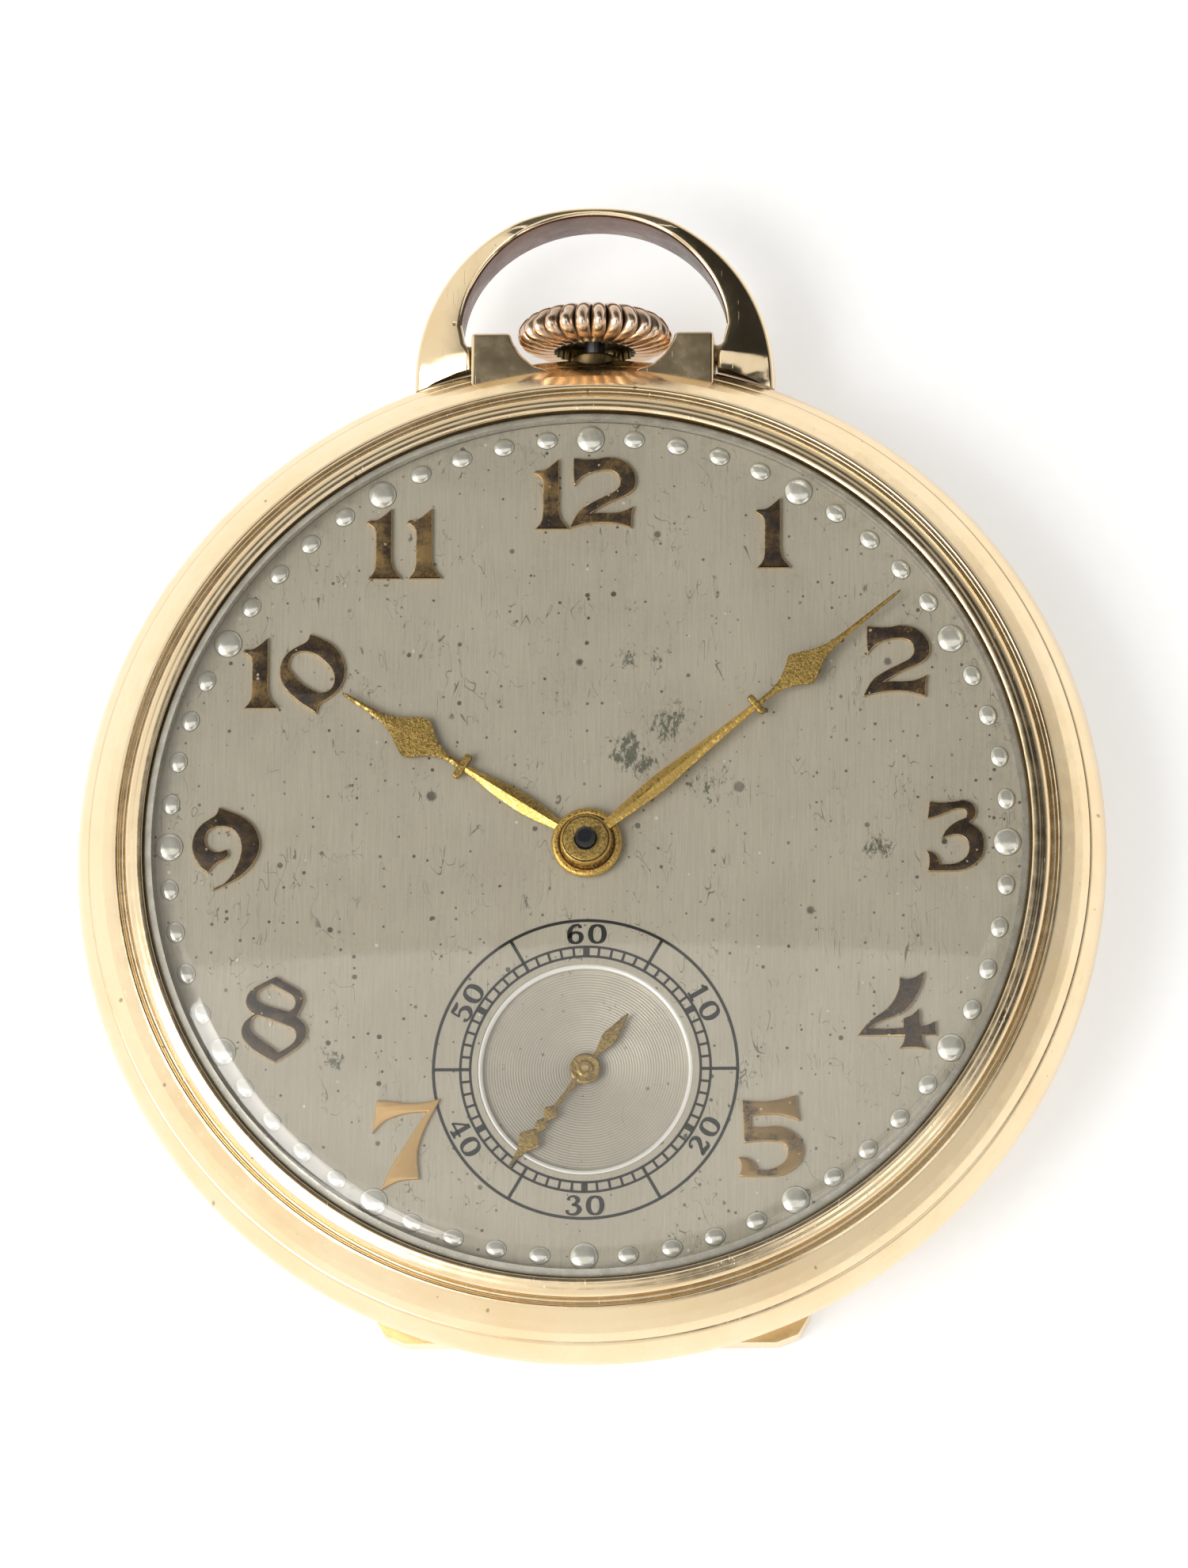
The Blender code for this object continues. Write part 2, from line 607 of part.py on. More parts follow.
# ---- plates, bridges and dial ---------------------------------------------------------------
def make_main_plate():
    """The pillar plate, with the motion work recess, its bearings and a cut for the stem."""
    body = turned("main_plate", [(PLATE_RADIUS, PLATE_HIGH), (PLATE_RADIUS, PLATE_LOW),
                                 (0.8, PLATE_LOW), (0.8, PLATE_HIGH)], "nickel", closed=True)
    recess = plate("motion_recess", [circle_points(3.6, 16)], MOTION_FLOOR, 7.0, "nickel")
    recess_top = plate("setting_recess",
                       [[(-3.3, 2.0), (3.3, 2.0), (2.3, 10.9), (-2.3, 10.9)]],
                       MOTION_FLOOR, 7.0, "nickel")
    stem_way = rod("stem_way", 1.5, 10.0, 22.0, axis="Y", at=(0.0, 0.0, STEM_Z), steps=16)
    pinion_way = rod("pinion_way", 2.1, 13.0, 14.55, axis="Y", at=(0.0, 0.0, STEM_Z), steps=20)
    tools = [recess, recess_top, stem_way, pinion_way]
    for name, (x, y) in (("fourth", FOURTH), ("third", THIRD), ("escape", ESCAPE),
                         ("pallet", PALLET), ("balance", BALANCE), ("barrel", BARREL)):
        tools.append(rod(f"{name}_bearing", 0.35, 4.0, 7.0, at=(x, y, 0.0), steps=10))
    return cut(body, *tools)


def bridge(name, outline, foot_arcs, holes, low=BRIDGE_LOW):
    """A flat bridge with feet down to the main plate along parts of its rim."""
    body = plate(name, [outline], low, BRIDGE_HIGH, "nickel")
    for i, (start, end) in enumerate(foot_arcs):
        rim = arc_points(BRIDGE_RADIUS, start, end, 7) + arc_points(17.1, end, start, 7)
        join(body, plate(f"{name}_foot_{i}", [rim], BRIDGE_HIGH - 0.3, PLATE_LOW - 0.05, "nickel"))
    for i, (radius, (x, y)) in enumerate(holes):
        cut(body, rod(f"{name}_hole_{i}", radius, 1.0, 6.0, at=(x, y, 0.0), steps=12))
    return body


BARREL_SCREWS = [polar(17.85, 38.0), polar(17.85, 140.0)]
TRAIN_SCREWS = [polar(17.85, -35.0), polar(17.85, -95.0)]
COCK_SCREW = polar(17.85, 197.7)
SCREW_HOLE = 0.42
JEWEL_HOLE = 0.62


def make_bridges():
    barrel_outline = arc_points(BRIDGE_RADIUS, 2.0, 152.0, 18) + [
        (-10.5, 4.2), (-3.2, 1.6), (-1.6, -1.6), (1.6, -1.8), (4.5, -0.6)]
    holes = [(0.3, CENTER), (1.0, BARREL), (0.6, CROWN_WHEEL)]
    holes += [(SCREW_HOLE, at) for at in BARREL_SCREWS]
    barrel_bridge = bridge("barrel_bridge", barrel_outline, [(20.0, 75.0), (110.0, 150.0)], holes)
    way = box("winding_way", (-1.7, 13.0, 1.0), (1.7, 14.6, 3.6))
    cut(barrel_bridge, way)

    train_outline = arc_points(BRIDGE_RADIUS, -112.0, -4.0, 14) + [
        (6.0, -2.4), (1.8, -3.4), (-2.4, -4.6), (-5.7, -7.4), (-6.6, -9.6)]
    holes = [(JEWEL_HOLE, at) for at in (THIRD, FOURTH, ESCAPE)]
    holes += [(SCREW_HOLE, at) for at in TRAIN_SCREWS]
    train_bridge = bridge("train_bridge", train_outline, [(-100.0, -20.0)], holes)

    cock_angle = direction(CENTER, BALANCE)
    cock_outline = arc_points(BRIDGE_RADIUS, 183.0, 212.0, 8)
    cock_outline += arc_points(2.1, cock_angle + 88.0, cock_angle + 272.0, 8, BALANCE)
    cock = bridge("balance_cock", cock_outline, [(185.0, 210.0)],
                  [(JEWEL_HOLE, BALANCE), (SCREW_HOLE, COCK_SCREW)])

    across = ESCAPEMENT_LINE + 90.0
    ends = [polar(2.35, across, PALLET), polar(2.35, across + 180.0, PALLET)]
    bar = [polar(0.35, across - 90.0, ends[0]), polar(0.35, across - 90.0, ends[1]),
           polar(0.35, across + 90.0, ends[1]), polar(0.35, across + 90.0, ends[0])]
    pallet_cock = plate("pallet_cock", [bar], 4.1, 4.34, "nickel")
    for i, (x, y) in enumerate(ends):
        join(pallet_cock, rod(f"pallet_post_{i}", 0.28, 4.15, PLATE_LOW - 0.05, "nickel",
                              (x, y, 0.0), steps=12))
    cut(pallet_cock, rod("pallet_cock_hole", 0.2, 3.0, 6.0, at=(*PALLET, 0.0), steps=10))
    return barrel_bridge, train_bridge, cock, pallet_cock


def make_screw(name, at, head_radius=0.75, shank_radius=0.34, depth=2.2):
    """A slotted cheese-head screw whose head sits on a bridge, its tip towards the dial."""
    head_low = BRIDGE_LOW - FIT_GAP - 0.38
    seat = BRIDGE_LOW - FIT_GAP
    profile = [(0.0, seat + depth), (shank_radius, seat + depth), (shank_radius, seat),
               (head_radius, seat), (head_radius, head_low), (0.0, head_low)]
    screw = turned(name, profile, "blued_steel", (*at, 0.0), 12)
    slot = box(f"{name}_slot", (-1.0, -0.1, head_low - 0.3), (1.0, 0.1, head_low + 0.16))
    slot.location += Vector((*at, 0.0)) * MM
    return cut(screw, slot)


def make_screws():
    for i, at in enumerate(BARREL_SCREWS + TRAIN_SCREWS, 1):
        make_screw(f"bridge_screw_{i}", at)
    make_screw("cock_screw", COCK_SCREW)


def make_jewels():
    for name, at in (("third_jewel", THIRD), ("fourth_jewel", FOURTH),
                     ("escape_jewel", ESCAPE), ("balance_jewel", BALANCE)):
        ring(name, JEWEL_HOLE - 0.05, 0.17, BRIDGE_LOW + 0.15, BRIDGE_LOW + 0.6, "ruby",
             (*at, 0.0), 10)


def make_dial():
    low = DIAL_TOP - DIAL_THICKNESS
    profile = [(DIAL_RADIUS, DIAL_TOP), (DIAL_RADIUS, low), (1.05, low), (1.05, DIAL_TOP)]
    dial = turned("dial", profile, "silvered_dial", closed=True)
    sink = rod("seconds_sink", SECONDS_SINK_RADIUS, DIAL_TOP - SECONDS_SINK, 8.0,
               at=(*FOURTH, 0.0), steps=32)
    post_hole = rod("seconds_post_hole", 0.4, 5.0, 8.0, at=(*FOURTH, 0.0), steps=12)
    return cut(dial, sink, post_hole)


# ---- going train ----------------------------------------------------------------------------
def make_barrel():
    x, y = BARREL
    outline = gear_outline(BARREL_TEETH, BARREL_MODULE, direction(BARREL, CENTER))
    drum = plate("barrel", [outline], 3.66, 4.52, "brass", BARREL)
    hollow = rod("barrel_hollow", 6.55, 2.0, 4.36, at=(x, y, 0.0), steps=24)
    bearing = rod("barrel_bearing_hole", 0.6, 2.0, 6.0, at=(x, y, 0.0))
    cut(drum, hollow, bearing)
    ring("barrel_cover", 6.4, 0.6, 3.66, 3.8, "brass", (x, y, 0.0), 24)
    arbor = [(0.0, 5.2), (0.3, 5.2), (0.3, 4.6), (0.52, 4.6), (0.52, 4.3), (1.1, 4.3),
             (1.1, 3.86), (0.52, 3.86), (0.52, 3.38), (0.78, 3.38), (0.78, 1.98), (0.0, 1.98)]
    turned("barrel_arbor", arbor, "steel", (x, y, 0.0), 12)


def spiral_strip(name, inner, outer, turns, points_per_turn, thickness, low, high, material, at):
    """A flat strip wound in a spiral, with even coils."""
    count = round(turns * points_per_turn)
    out_side, in_side = [], []
    for i in range(count + 1):
        radius = inner + (outer - inner) * i / count
        degrees = 360.0 * i / points_per_turn
        out_side.append(polar(radius + thickness / 2, degrees))
        in_side.append(polar(radius - thickness / 2, degrees))
    return plate(name, [out_side + in_side[::-1]], low, high, material, at)


def arbor_profile(low, high, pivot, body):
    """A shaft with a thin pivot at each end."""
    return [(0.0, high), (pivot, high), (pivot, high - 0.35), (body, high - 0.35),
            (body, low + 0.5), (pivot, low + 0.5), (pivot, low), (0.0, low)]


def train_wheel(name, axis, teeth, module, wheel_z, wheel_tip, leaves, leaf_module, leaf_z,
                leaf_tip, shaft, material="brass", arms=5):
    """A wheel, its pinion and its arbor in one piece, as they are riveted together."""
    pitch = teeth * module / 2
    outlines = [gear_outline(teeth, module, wheel_tip)]
    outlines += spoke_windows(arms, 1.25, pitch - 4.2 * module, 0.5)
    wheel = plate(name, outlines, *wheel_z, material, axis)
    pinion = plate(f"{name}_leaves", [gear_outline(leaves, leaf_module, leaf_tip)], *leaf_z,
                   "steel", axis)
    return join(wheel, pinion, turned(f"{name}_arbor", shaft, "steel", (*axis, 0.0), 12))


def make_train():
    to_third, to_fourth = direction(CENTER, THIRD), direction(THIRD, FOURTH)
    to_escape = direction(FOURTH, ESCAPE)
    to_barrel = direction(CENTER, BARREL)
    center_shaft = [(0.0, 8.5), (0.31, 8.5), (0.45, 8.35), (0.45, 5.4), (0.7, 5.4), (0.7, 3.4),
                    (0.22, 3.4), (0.22, 2.7), (0.0, 2.7)]
    train_wheel("center_wheel", CENTER, CENTER_TEETH, CENTER_MODULE, (4.6, 4.8), to_third,
                CENTER_PINION_LEAVES, BARREL_MODULE, (3.5, 4.62),
                gap_facing(CENTER_PINION_LEAVES, to_barrel), center_shaft)
    train_wheel("third_wheel", THIRD, THIRD_TEETH, THIRD_MODULE, (3.42, 3.58), to_fourth,
                THIRD_PINION_LEAVES, CENTER_MODULE, (3.56, 4.85),
                gap_facing(THIRD_PINION_LEAVES, to_third + 180.0),
                arbor_profile(2.7, 5.5, 0.14, 0.3))
    fourth_shaft = [(0.0, 7.05), (0.16, 7.05), (0.16, 5.0), (0.3, 5.0), (0.3, 3.2), (0.14, 3.2),
                    (0.14, 2.7), (0.0, 2.7)]
    train_wheel("fourth_wheel", FOURTH, FOURTH_TEETH, FOURTH_MODULE, (4.1, 4.25), to_escape,
                FOURTH_PINION_LEAVES, THIRD_MODULE, (3.38, 4.12),
                gap_facing(FOURTH_PINION_LEAVES, to_fourth + 180.0), fourth_shaft)
    escape = plate("escape_wheel", [escape_outline()] + spoke_windows(4, 0.8, 2.0, 0.35), 4.5, 4.66,
                   "steel", ESCAPE)
    leaves = plate("escape_leaves",
                   [gear_outline(ESCAPE_PINION_LEAVES, FOURTH_MODULE,
                                 gap_facing(ESCAPE_PINION_LEAVES, to_escape + 180.0))],
                   4.0, 4.55, "steel", ESCAPE)
    shaft = turned("escape_arbor", arbor_profile(2.7, 5.5, 0.13, 0.22), "steel", (*ESCAPE, 0.0), 12)
    join(escape, leaves, shaft)


def escape_outline():
    """Fifteen raked teeth, each with a steep front and a hollow back."""
    points = []
    pitch = 360.0 / ESCAPE_TEETH
    for i in range(ESCAPE_TEETH):
        start = ESCAPEMENT_LINE + pitch * i
        points.append(polar(2.3, start - 0.30 * pitch))
        points.append(polar(ESCAPE_RADIUS, start + 0.02 * pitch))
        points.append(polar(ESCAPE_RADIUS, start + 0.14 * pitch))
        points.append(polar(2.3, start + 0.12 * pitch))
    return points


def make_pallet_fork():
    """The anchor with its two stones, the lever with its forked end, and its arbor."""
    half = [(0.0, -0.35), (-1.2, -0.55), (-1.85, -0.95), (-1.95, -0.6), (-1.5, -0.15),
            (-0.55, 0.3), (-0.28, 0.6), (-0.22, 2.3), (-0.5, 2.65), (-0.5, 3.35), (-0.26, 3.35),
            (-0.26, 2.8), (0.0, 2.7)]
    turn = -(ESCAPEMENT_LINE - 90.0)
    anchor = rotated(mirrored(half), turn)
    fork = plate("pallet_fork", [anchor], 4.42, 4.62, "steel", PALLET)
    shaft = turned("pallet_arbor", arbor_profile(4.12, 5.5, 0.12, 0.3), "steel", (*PALLET, 0.0), 12)
    return join(fork, shaft)


def make_balance():
    """A two-armed rim with timing screws on its staff, the roller and the hairspring."""
    rim_outer, rim_inner = 6.3, 5.6
    windows = half_windows(1.0, rim_inner, 0.9, 35.0)
    wheel = plate("balance_wheel", [circle_points(rim_outer, 40)] + windows, 3.62, 3.98, "brass",
                  BALANCE)
    timing_screws = 12
    for i in range(timing_screws):
        screw = box(f"timing_screw_{i}", (rim_outer - 0.2, -0.18, 3.64), (6.85, 0.18, 3.96))
        screw.rotation_euler.z = math.radians(35.0 + 360.0 * (i + 0.5) / timing_screws)
        centre = Vector((rim_outer + 0.175, 0.0, 0.0))
        centre.rotate(screw.rotation_euler)
        screw.location = (centre + Vector((*BALANCE, 3.8))) * MM
        join(wheel, screw)
    staff = turned("balance_staff", arbor_profile(2.72, 5.6, 0.12, 0.34), "steel",
                   (*BALANCE, 0.0), 12)
    join(wheel, staff)
    roller = ring("roller", 0.95, 0.38, 4.08, 4.3, "steel", (*BALANCE, 0.0), 20)
    pin_at = polar(0.68, ESCAPEMENT_LINE + 180.0, BALANCE)
    join(roller, rod("impulse_pin", 0.14, 4.2, 4.5, "ruby", (*pin_at, 0.0), steps=8))
    spiral_strip("hairspring", 0.6, 3.3, 6, 12, 0.06, 3.36, 3.5, "blued_steel", BALANCE)


# ---- hands and motion work ------------------------------------------------------------------
def make_motion_work():
    to_minute = direction(CENTER, MINUTE)
    cannon = plate("cannon_pinion",
                   [gear_outline(CANNON_TEETH, MOTION_MODULE, to_minute), circle_points(0.5, 12)],
                   5.48, 5.85, "steel")
    pipe = ring("cannon_pipe", 0.66, 0.5, 5.6, 7.95, "steel", steps=12)
    join(cannon, pipe)
    minute = plate("minute_wheel",
                   [gear_outline(MINUTE_TEETH, MOTION_MODULE,
                                 gap_facing(MINUTE_TEETH, to_minute + 180.0)),
                    circle_points(0.35, 10)],
                   5.5, 5.7, "brass", MINUTE)
    leaves = plate("minute_leaves",
                   [gear_outline(MINUTE_PINION_LEAVES, HOUR_MODULE,
                                 gap_facing(MINUTE_PINION_LEAVES, to_minute + 180.0)),
                    circle_points(0.35, 10)],
                   5.65, 6.24, "steel", MINUTE)
    join(minute, leaves)
    hour = plate("hour_wheel",
                 [gear_outline(HOUR_TEETH, HOUR_MODULE, to_minute), circle_points(0.74, 16)],
                 5.93, 6.18, "brass")
    join(hour, ring("hour_pipe", 0.93, 0.74, 6.0, 7.2, "brass", steps=12))


def baton_hand(root, bulge_at, bulge, neck_at, bar, spade_at, spade, tip_at, boss):
    """Left half of a hand that points to 12: shaft, cross bar, spade and needle."""
    hub = arc_points(boss, -90.0, -90.0 - 150.0, 9)
    return hub + [
        (-root, boss + 0.3), (-bulge, bulge_at), (-root * 0.8, neck_at - 0.4),
        (-bar, neck_at - 0.2), (-bar, neck_at + 0.2), (-root * 0.7, neck_at + 0.3),
        (-spade * 0.75, spade_at - 1.1), (-spade, spade_at), (-spade * 0.35, spade_at + 1.2),
        (-0.17, spade_at + 1.7), (-0.06, tip_at), (0.0, tip_at + 0.1)]


def make_hands():
    hour = baton_hand(0.22, 3.9, 0.42, 6.6, 0.5, 9.3, 0.85, 12.5, 1.52)
    hour_hand = plate("hour_hand", [rotated(mirrored(hour), HOUR_ANGLE), circle_points(0.97, 16)],
                      7.08, 7.2, "gold_hands")
    join(hour_hand, ring("hour_boss", 1.45, 0.97, 7.1, 7.32, "gold_hands"))
    minute = baton_hand(0.2, 5.6, 0.35, 8.9, 0.42, 11.9, 0.72, 17.3, 1.1)
    minute_hand = plate("minute_hand",
                        [rotated(mirrored(minute), MINUTE_ANGLE), circle_points(0.7, 16)],
                        7.42, 7.54, "gold_hands")
    join(minute_hand, ring("minute_boss", 1.04, 0.7, 7.44, 7.9, "gold_hands"))
    seconds = [(0.0, -3.0), (-0.12, -2.6), (-0.42, -1.9), (-0.15, -0.95)]
    seconds += arc_points(0.62, 255.0, 105.0, 8)
    seconds += [(-0.12, 1.0), (-0.12, 1.8), (-0.33, 2.05), (-0.14, 2.3), (-0.33, 2.55),
                (-0.12, 2.85), (-0.42, 3.5), (-0.16, 4.3), (-0.05, 5.2), (0.0, 5.3)]
    plate("seconds_hand", [rotated(mirrored(seconds), SECONDS_ANGLE), circle_points(0.2, 8)],
          6.86, 7.0, "gold_hands", FOURTH)


def make_watch():
    make_case_center()
    make_bezel()
    make_crystal()
    make_case_back()
    make_strut()
    rod("strut_pin", 0.15, -4.2, 4.2, "steel", STRUT_HINGE, steps=12, axis="X")
    make_pendant_horns()
    make_bow()
    make_bow_pins()
    make_pendant_sleeve()
    make_crown()
    make_winding_stem()
    make_winding_parts()
    make_winding_wheels()
    make_click()
    make_click_spring()
    make_setting_parts()
    make_main_plate()
    make_bridges()
    make_screws()
    make_jewels()
    make_dial()
    make_barrel()
    spiral_strip("mainspring", 1.35, 6.1, 4, 14, 0.18, 3.86, 4.3, "steel", BARREL)
    make_train()
    make_pallet_fork()
    make_balance()
    make_motion_work()
    make_hands()


make_watch()
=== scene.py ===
"""Looks of the open face pocket watch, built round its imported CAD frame."""
import json
import math
import random

import bmesh
import bpy
from mathutils import Matrix, Vector

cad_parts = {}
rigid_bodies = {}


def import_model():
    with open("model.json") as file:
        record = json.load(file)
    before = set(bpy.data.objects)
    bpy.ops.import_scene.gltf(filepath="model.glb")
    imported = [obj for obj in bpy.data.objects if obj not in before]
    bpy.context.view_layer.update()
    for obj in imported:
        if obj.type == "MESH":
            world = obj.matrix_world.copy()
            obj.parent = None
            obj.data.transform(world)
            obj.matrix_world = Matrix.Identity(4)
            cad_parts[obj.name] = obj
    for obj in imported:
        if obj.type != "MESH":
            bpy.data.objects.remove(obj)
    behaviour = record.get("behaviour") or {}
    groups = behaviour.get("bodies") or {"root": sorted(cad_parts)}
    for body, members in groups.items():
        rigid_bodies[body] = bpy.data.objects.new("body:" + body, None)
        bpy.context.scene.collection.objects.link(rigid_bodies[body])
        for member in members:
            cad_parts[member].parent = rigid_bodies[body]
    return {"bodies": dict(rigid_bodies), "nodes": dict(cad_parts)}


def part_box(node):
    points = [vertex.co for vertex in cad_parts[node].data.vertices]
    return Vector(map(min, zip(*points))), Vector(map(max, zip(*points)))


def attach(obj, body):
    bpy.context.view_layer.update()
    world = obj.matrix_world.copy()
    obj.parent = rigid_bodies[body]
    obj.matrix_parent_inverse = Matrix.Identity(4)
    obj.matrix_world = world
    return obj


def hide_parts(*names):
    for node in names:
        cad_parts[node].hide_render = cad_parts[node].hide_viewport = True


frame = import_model()

for stray in set(bpy.data.objects) - set(frame["nodes"].values()) - set(frame["bodies"].values()):
    bpy.data.objects.remove(stray)
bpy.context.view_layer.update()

MM = 0.001


def place(node, corner, axis):
    """One side of a CAD node's box in millimetres: corner 0 is the low side and 1 the high side."""
    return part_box(node)[corner][axis] / MM


X, Y, Z = 0, 1, 2
DIAL_Z = place("dial", 1, Z)
DIAL_RADIUS = place("dial", 1, X)
RIM_RADIUS = place("case_center", 1, X)
RIM_Z = 4.3
STEM_Z = (place("pendant_sleeve", 0, Z) + place("pendant_sleeve", 1, Z)) / 2
CROWN_LOW, CROWN_HIGH = place("crown", 0, Y), place("crown", 1, Y)
CROWN_RADIUS = place("crown", 1, X)
GLASS_APEX = place("crystal", 1, Z)
GLASS_RADIUS = place("crystal", 1, X)
BOW_BACK, BOW_FRONT = place("bow", 0, Z), place("bow", 1, Z)
BOW_PIVOT = Vector((0.0, 22.45, STEM_Z))
BOW_PIN_HOLE = 0.55
COPPER_DEPTH, COPPER_FOOT = 0.16, 22.9    # where the inside of the bow is worn to the copper
BOW_STOPS = (-40.0, -20.0, 0.0, 15.0)
BOW_SLOPE, BOW_FLAT = 0.28, 3.4
HEEL_SLOPE, HEEL_TOP = 0.26, 22.2
SECONDS_AXIS = Vector((0.0, -9.87, 0.0))
SECONDS_DEPTH = 0.25
HOUR_CLOCKWISE, MINUTE_CLOCKWISE, SECONDS_CLOCKWISE = 302.3, 50.7, 217.2
STEPS = 288                  # facets round the large turned pieces
POINT_WELD, RELIEF_WELD = 0.001, 0.002    # points closer than this are made one


# ---- shapes ---------------------------------------------------------------------------------
def polar(radius, clockwise, centre=(0.0, 0.0)):
    """A point on the dial plane, its angle counted clockwise from 12 o'clock."""
    angle = math.radians(clockwise)
    return (centre[0] + radius * math.sin(angle), centre[1] + radius * math.cos(angle))


def spline(points, steps=5):
    """A smooth run through points, ends included."""
    if len(points) == 2:
        return [Vector(p) for p in points]
    points = [Vector(p) for p in points]
    padded = [points[0] * 2 - points[1]] + points + [points[-1] * 2 - points[-2]]
    run = []
    for i in range(1, len(padded) - 2):
        a, b, c, d = padded[i - 1:i + 3]
        for k in range(steps):
            t = k / steps
            run.append(0.5 * (2 * b + (c - a) * t + (2 * a - 5 * b + 4 * c - d) * t * t
                              + (3 * b - a - 3 * c + d) * t ** 3))
    run.append(points[-1])
    return run


def closed_runs(runs):
    """A closed outline: each run starts at a corner and leads to the start of the next run."""
    outline = []
    for run, after in zip(runs, runs[1:] + runs[:1]):
        outline += spline(run + after[:1])[:-1]
    return outline


def turned_point(point, clockwise):
    a = math.radians(clockwise)
    return Vector((point[0] * math.cos(a) + point[1] * math.sin(a),
                   point[1] * math.cos(a) - point[0] * math.sin(a)))


def circle(radius, count, centre=(0.0, 0.0)):
    return [Vector(polar(radius, 360.0 * i / count, centre)) for i in range(count)]


def soften(profile, size, steps=4, closed=True):
    """The profile with each corner rounded off over a length."""
    points = [Vector(p) for p in profile]
    count = len(points)
    out = []
    for i, corner in enumerate(points):
        if not closed and i in (0, count - 1):
            out.append(corner)
            continue
        before, after = points[i - 1] - corner, points[(i + 1) % count] - corner
        start = corner + before.normalized() * min(size, before.length * 0.45)
        end = corner + after.normalized() * min(size, after.length * 0.45)
        for k in range(steps + 1):
            t = k / steps
            out.append(start * (1 - t) ** 2 + corner * (2 * t * (1 - t)) + end * t ** 2)
    return out


def mesh_from(name, vertices, faces, sharp=32.0):
    """A mesh in metres from points in millimetres, smooth except at its sharp edges."""
    mesh = bpy.data.meshes.new(name)
    mesh.from_pydata([Vector(v) * MM for v in vertices], [], faces)
    build = bmesh.new()
    build.from_mesh(mesh)
    bmesh.ops.remove_doubles(build, verts=build.verts, dist=POINT_WELD * MM)
    bmesh.ops.recalc_face_normals(build, faces=build.faces)
    build.to_mesh(mesh)
    build.free()
    shade(mesh, sharp)
    return mesh


def shade(mesh, sharp):
    for polygon in mesh.polygons:
        polygon.use_smooth = True
    mesh.set_sharp_from_angle(angle=math.radians(sharp))


def add(name, mesh, materials, body, replaces=()):
    """Places a piece, dresses it and ties it to its body."""
    piece = bpy.data.objects.new(name, mesh)
    bpy.context.scene.collection.objects.link(piece)
    for index, material in enumerate(materials if isinstance(materials, list) else [materials]):
        if index < len(mesh.materials):
            mesh.materials[index] = material
        else:
            mesh.materials.append(material)
    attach(piece, body)
    if replaces:
        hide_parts(*replaces)


def turned_mesh(name, profile, steps=STEPS, closed=True, axis="Z", at=(0.0, 0.0, 0.0), sharp=32.0,
                reach=None):
    """A profile of (radius, height) turned round an axis; reach(angle, radius, height) moves it."""
    vertices, faces = [], []
    rows = len(profile)
    at = Vector(at)
    for i in range(steps):
        angle = 2 * math.pi * i / steps
        for radius, height in profile:
            if reach:
                radius, height = reach(angle, radius, height)
            x, y = radius * math.sin(angle), radius * math.cos(angle)
            spot = (x, y, height) if axis == "Z" else (x, height, y)
            vertices.append(at + Vector(spot))
    spans = rows if closed else rows - 1
    for i in range(steps):
        j = (i + 1) % steps
        for k in range(spans):
            m = (k + 1) % rows
            faces.append((i * rows + k, i * rows + m, j * rows + m, j * rows + k))
    return mesh_from(name, vertices, faces, sharp)


def relief_mesh(name, outlines, low, high, edge=0.0, at=(0.0, 0.0), segments=3, sharp=32.0):
    """A flat plate from outlines, holes included, with its edges rounded over a width."""
    curve = bpy.data.curves.new(name, "CURVE")
    curve.dimensions = "2D"
    curve.fill_mode = "BOTH"
    curve.extrude = (high - low) / 2 - edge
    curve.bevel_depth = edge
    curve.offset = -edge
    curve.bevel_resolution = segments
    for outline in outlines:
        part = curve.splines.new("POLY")
        part.points.add(len(outline) - 1)
        for point, spot in zip(part.points, outline):
            point.co = (spot[0], spot[1], 0.0, 1.0)
        part.use_cyclic_u = True
    holder = bpy.data.objects.new(name, curve)
    bpy.context.scene.collection.objects.link(holder)
    bpy.context.view_layer.update()
    mesh = bpy.data.meshes.new_from_object(
        holder.evaluated_get(bpy.context.evaluated_depsgraph_get()))
    bpy.data.objects.remove(holder)
    bpy.data.curves.remove(curve)
    middle = (low + high) / 2
    mesh.transform(Matrix.Translation(Vector((at[0], at[1], middle)) * MM) @ Matrix.Scale(MM, 4))
    build = bmesh.new()
    build.from_mesh(mesh)
    bmesh.ops.remove_doubles(build, verts=build.verts, dist=RELIEF_WELD * MM)
    build.to_mesh(mesh)
    build.free()
    shade(mesh, sharp)
    return mesh


def merged(name, meshes):
    """Several meshes as one; each keeps its own material index."""
    build = bmesh.new()
    for mesh in meshes:
        build.from_mesh(mesh)
    out = bpy.data.meshes.new(name)
    build.to_mesh(out)
    build.free()
    for mesh in meshes:
        bpy.data.meshes.remove(mesh)
    return out


def carved(name, mesh, cutters, edge=0.0, sharp=32.0):
    """The mesh less its cutters, with its new edges rounded."""
    body = bpy.data.objects.new(name, mesh)
    bpy.context.scene.collection.objects.link(body)
    tools = []
    for cutter in cutters:
        tool = bpy.data.objects.new("cutter", cutter)
        bpy.context.scene.collection.objects.link(tool)
        tools.append(tool)
        step = body.modifiers.new("cut", "BOOLEAN")
        step.operation = "DIFFERENCE"
        step.solver = "EXACT"
        step.object = tool
    if edge:
        rounding = body.modifiers.new("edge", "BEVEL")
        rounding.width = edge * MM
        rounding.segments = 3
        rounding.limit_method = "ANGLE"
        rounding.angle_limit = math.radians(38.0)
    bpy.context.view_layer.update()
    out = bpy.data.meshes.new_from_object(
        body.evaluated_get(bpy.context.evaluated_depsgraph_get()))
    for used in [body] + tools:
        bpy.data.objects.remove(used)
    shade(out, sharp)
    return out


def tilted(mesh, degrees, about):
    """The mesh turned about an X axis line through a point in millimetres."""
    pivot = Vector(about) * MM
    mesh.transform(Matrix.Translation(pivot) @ Matrix.Rotation(math.radians(degrees), 4, "X")
                   @ Matrix.Translation(-pivot))
    return mesh


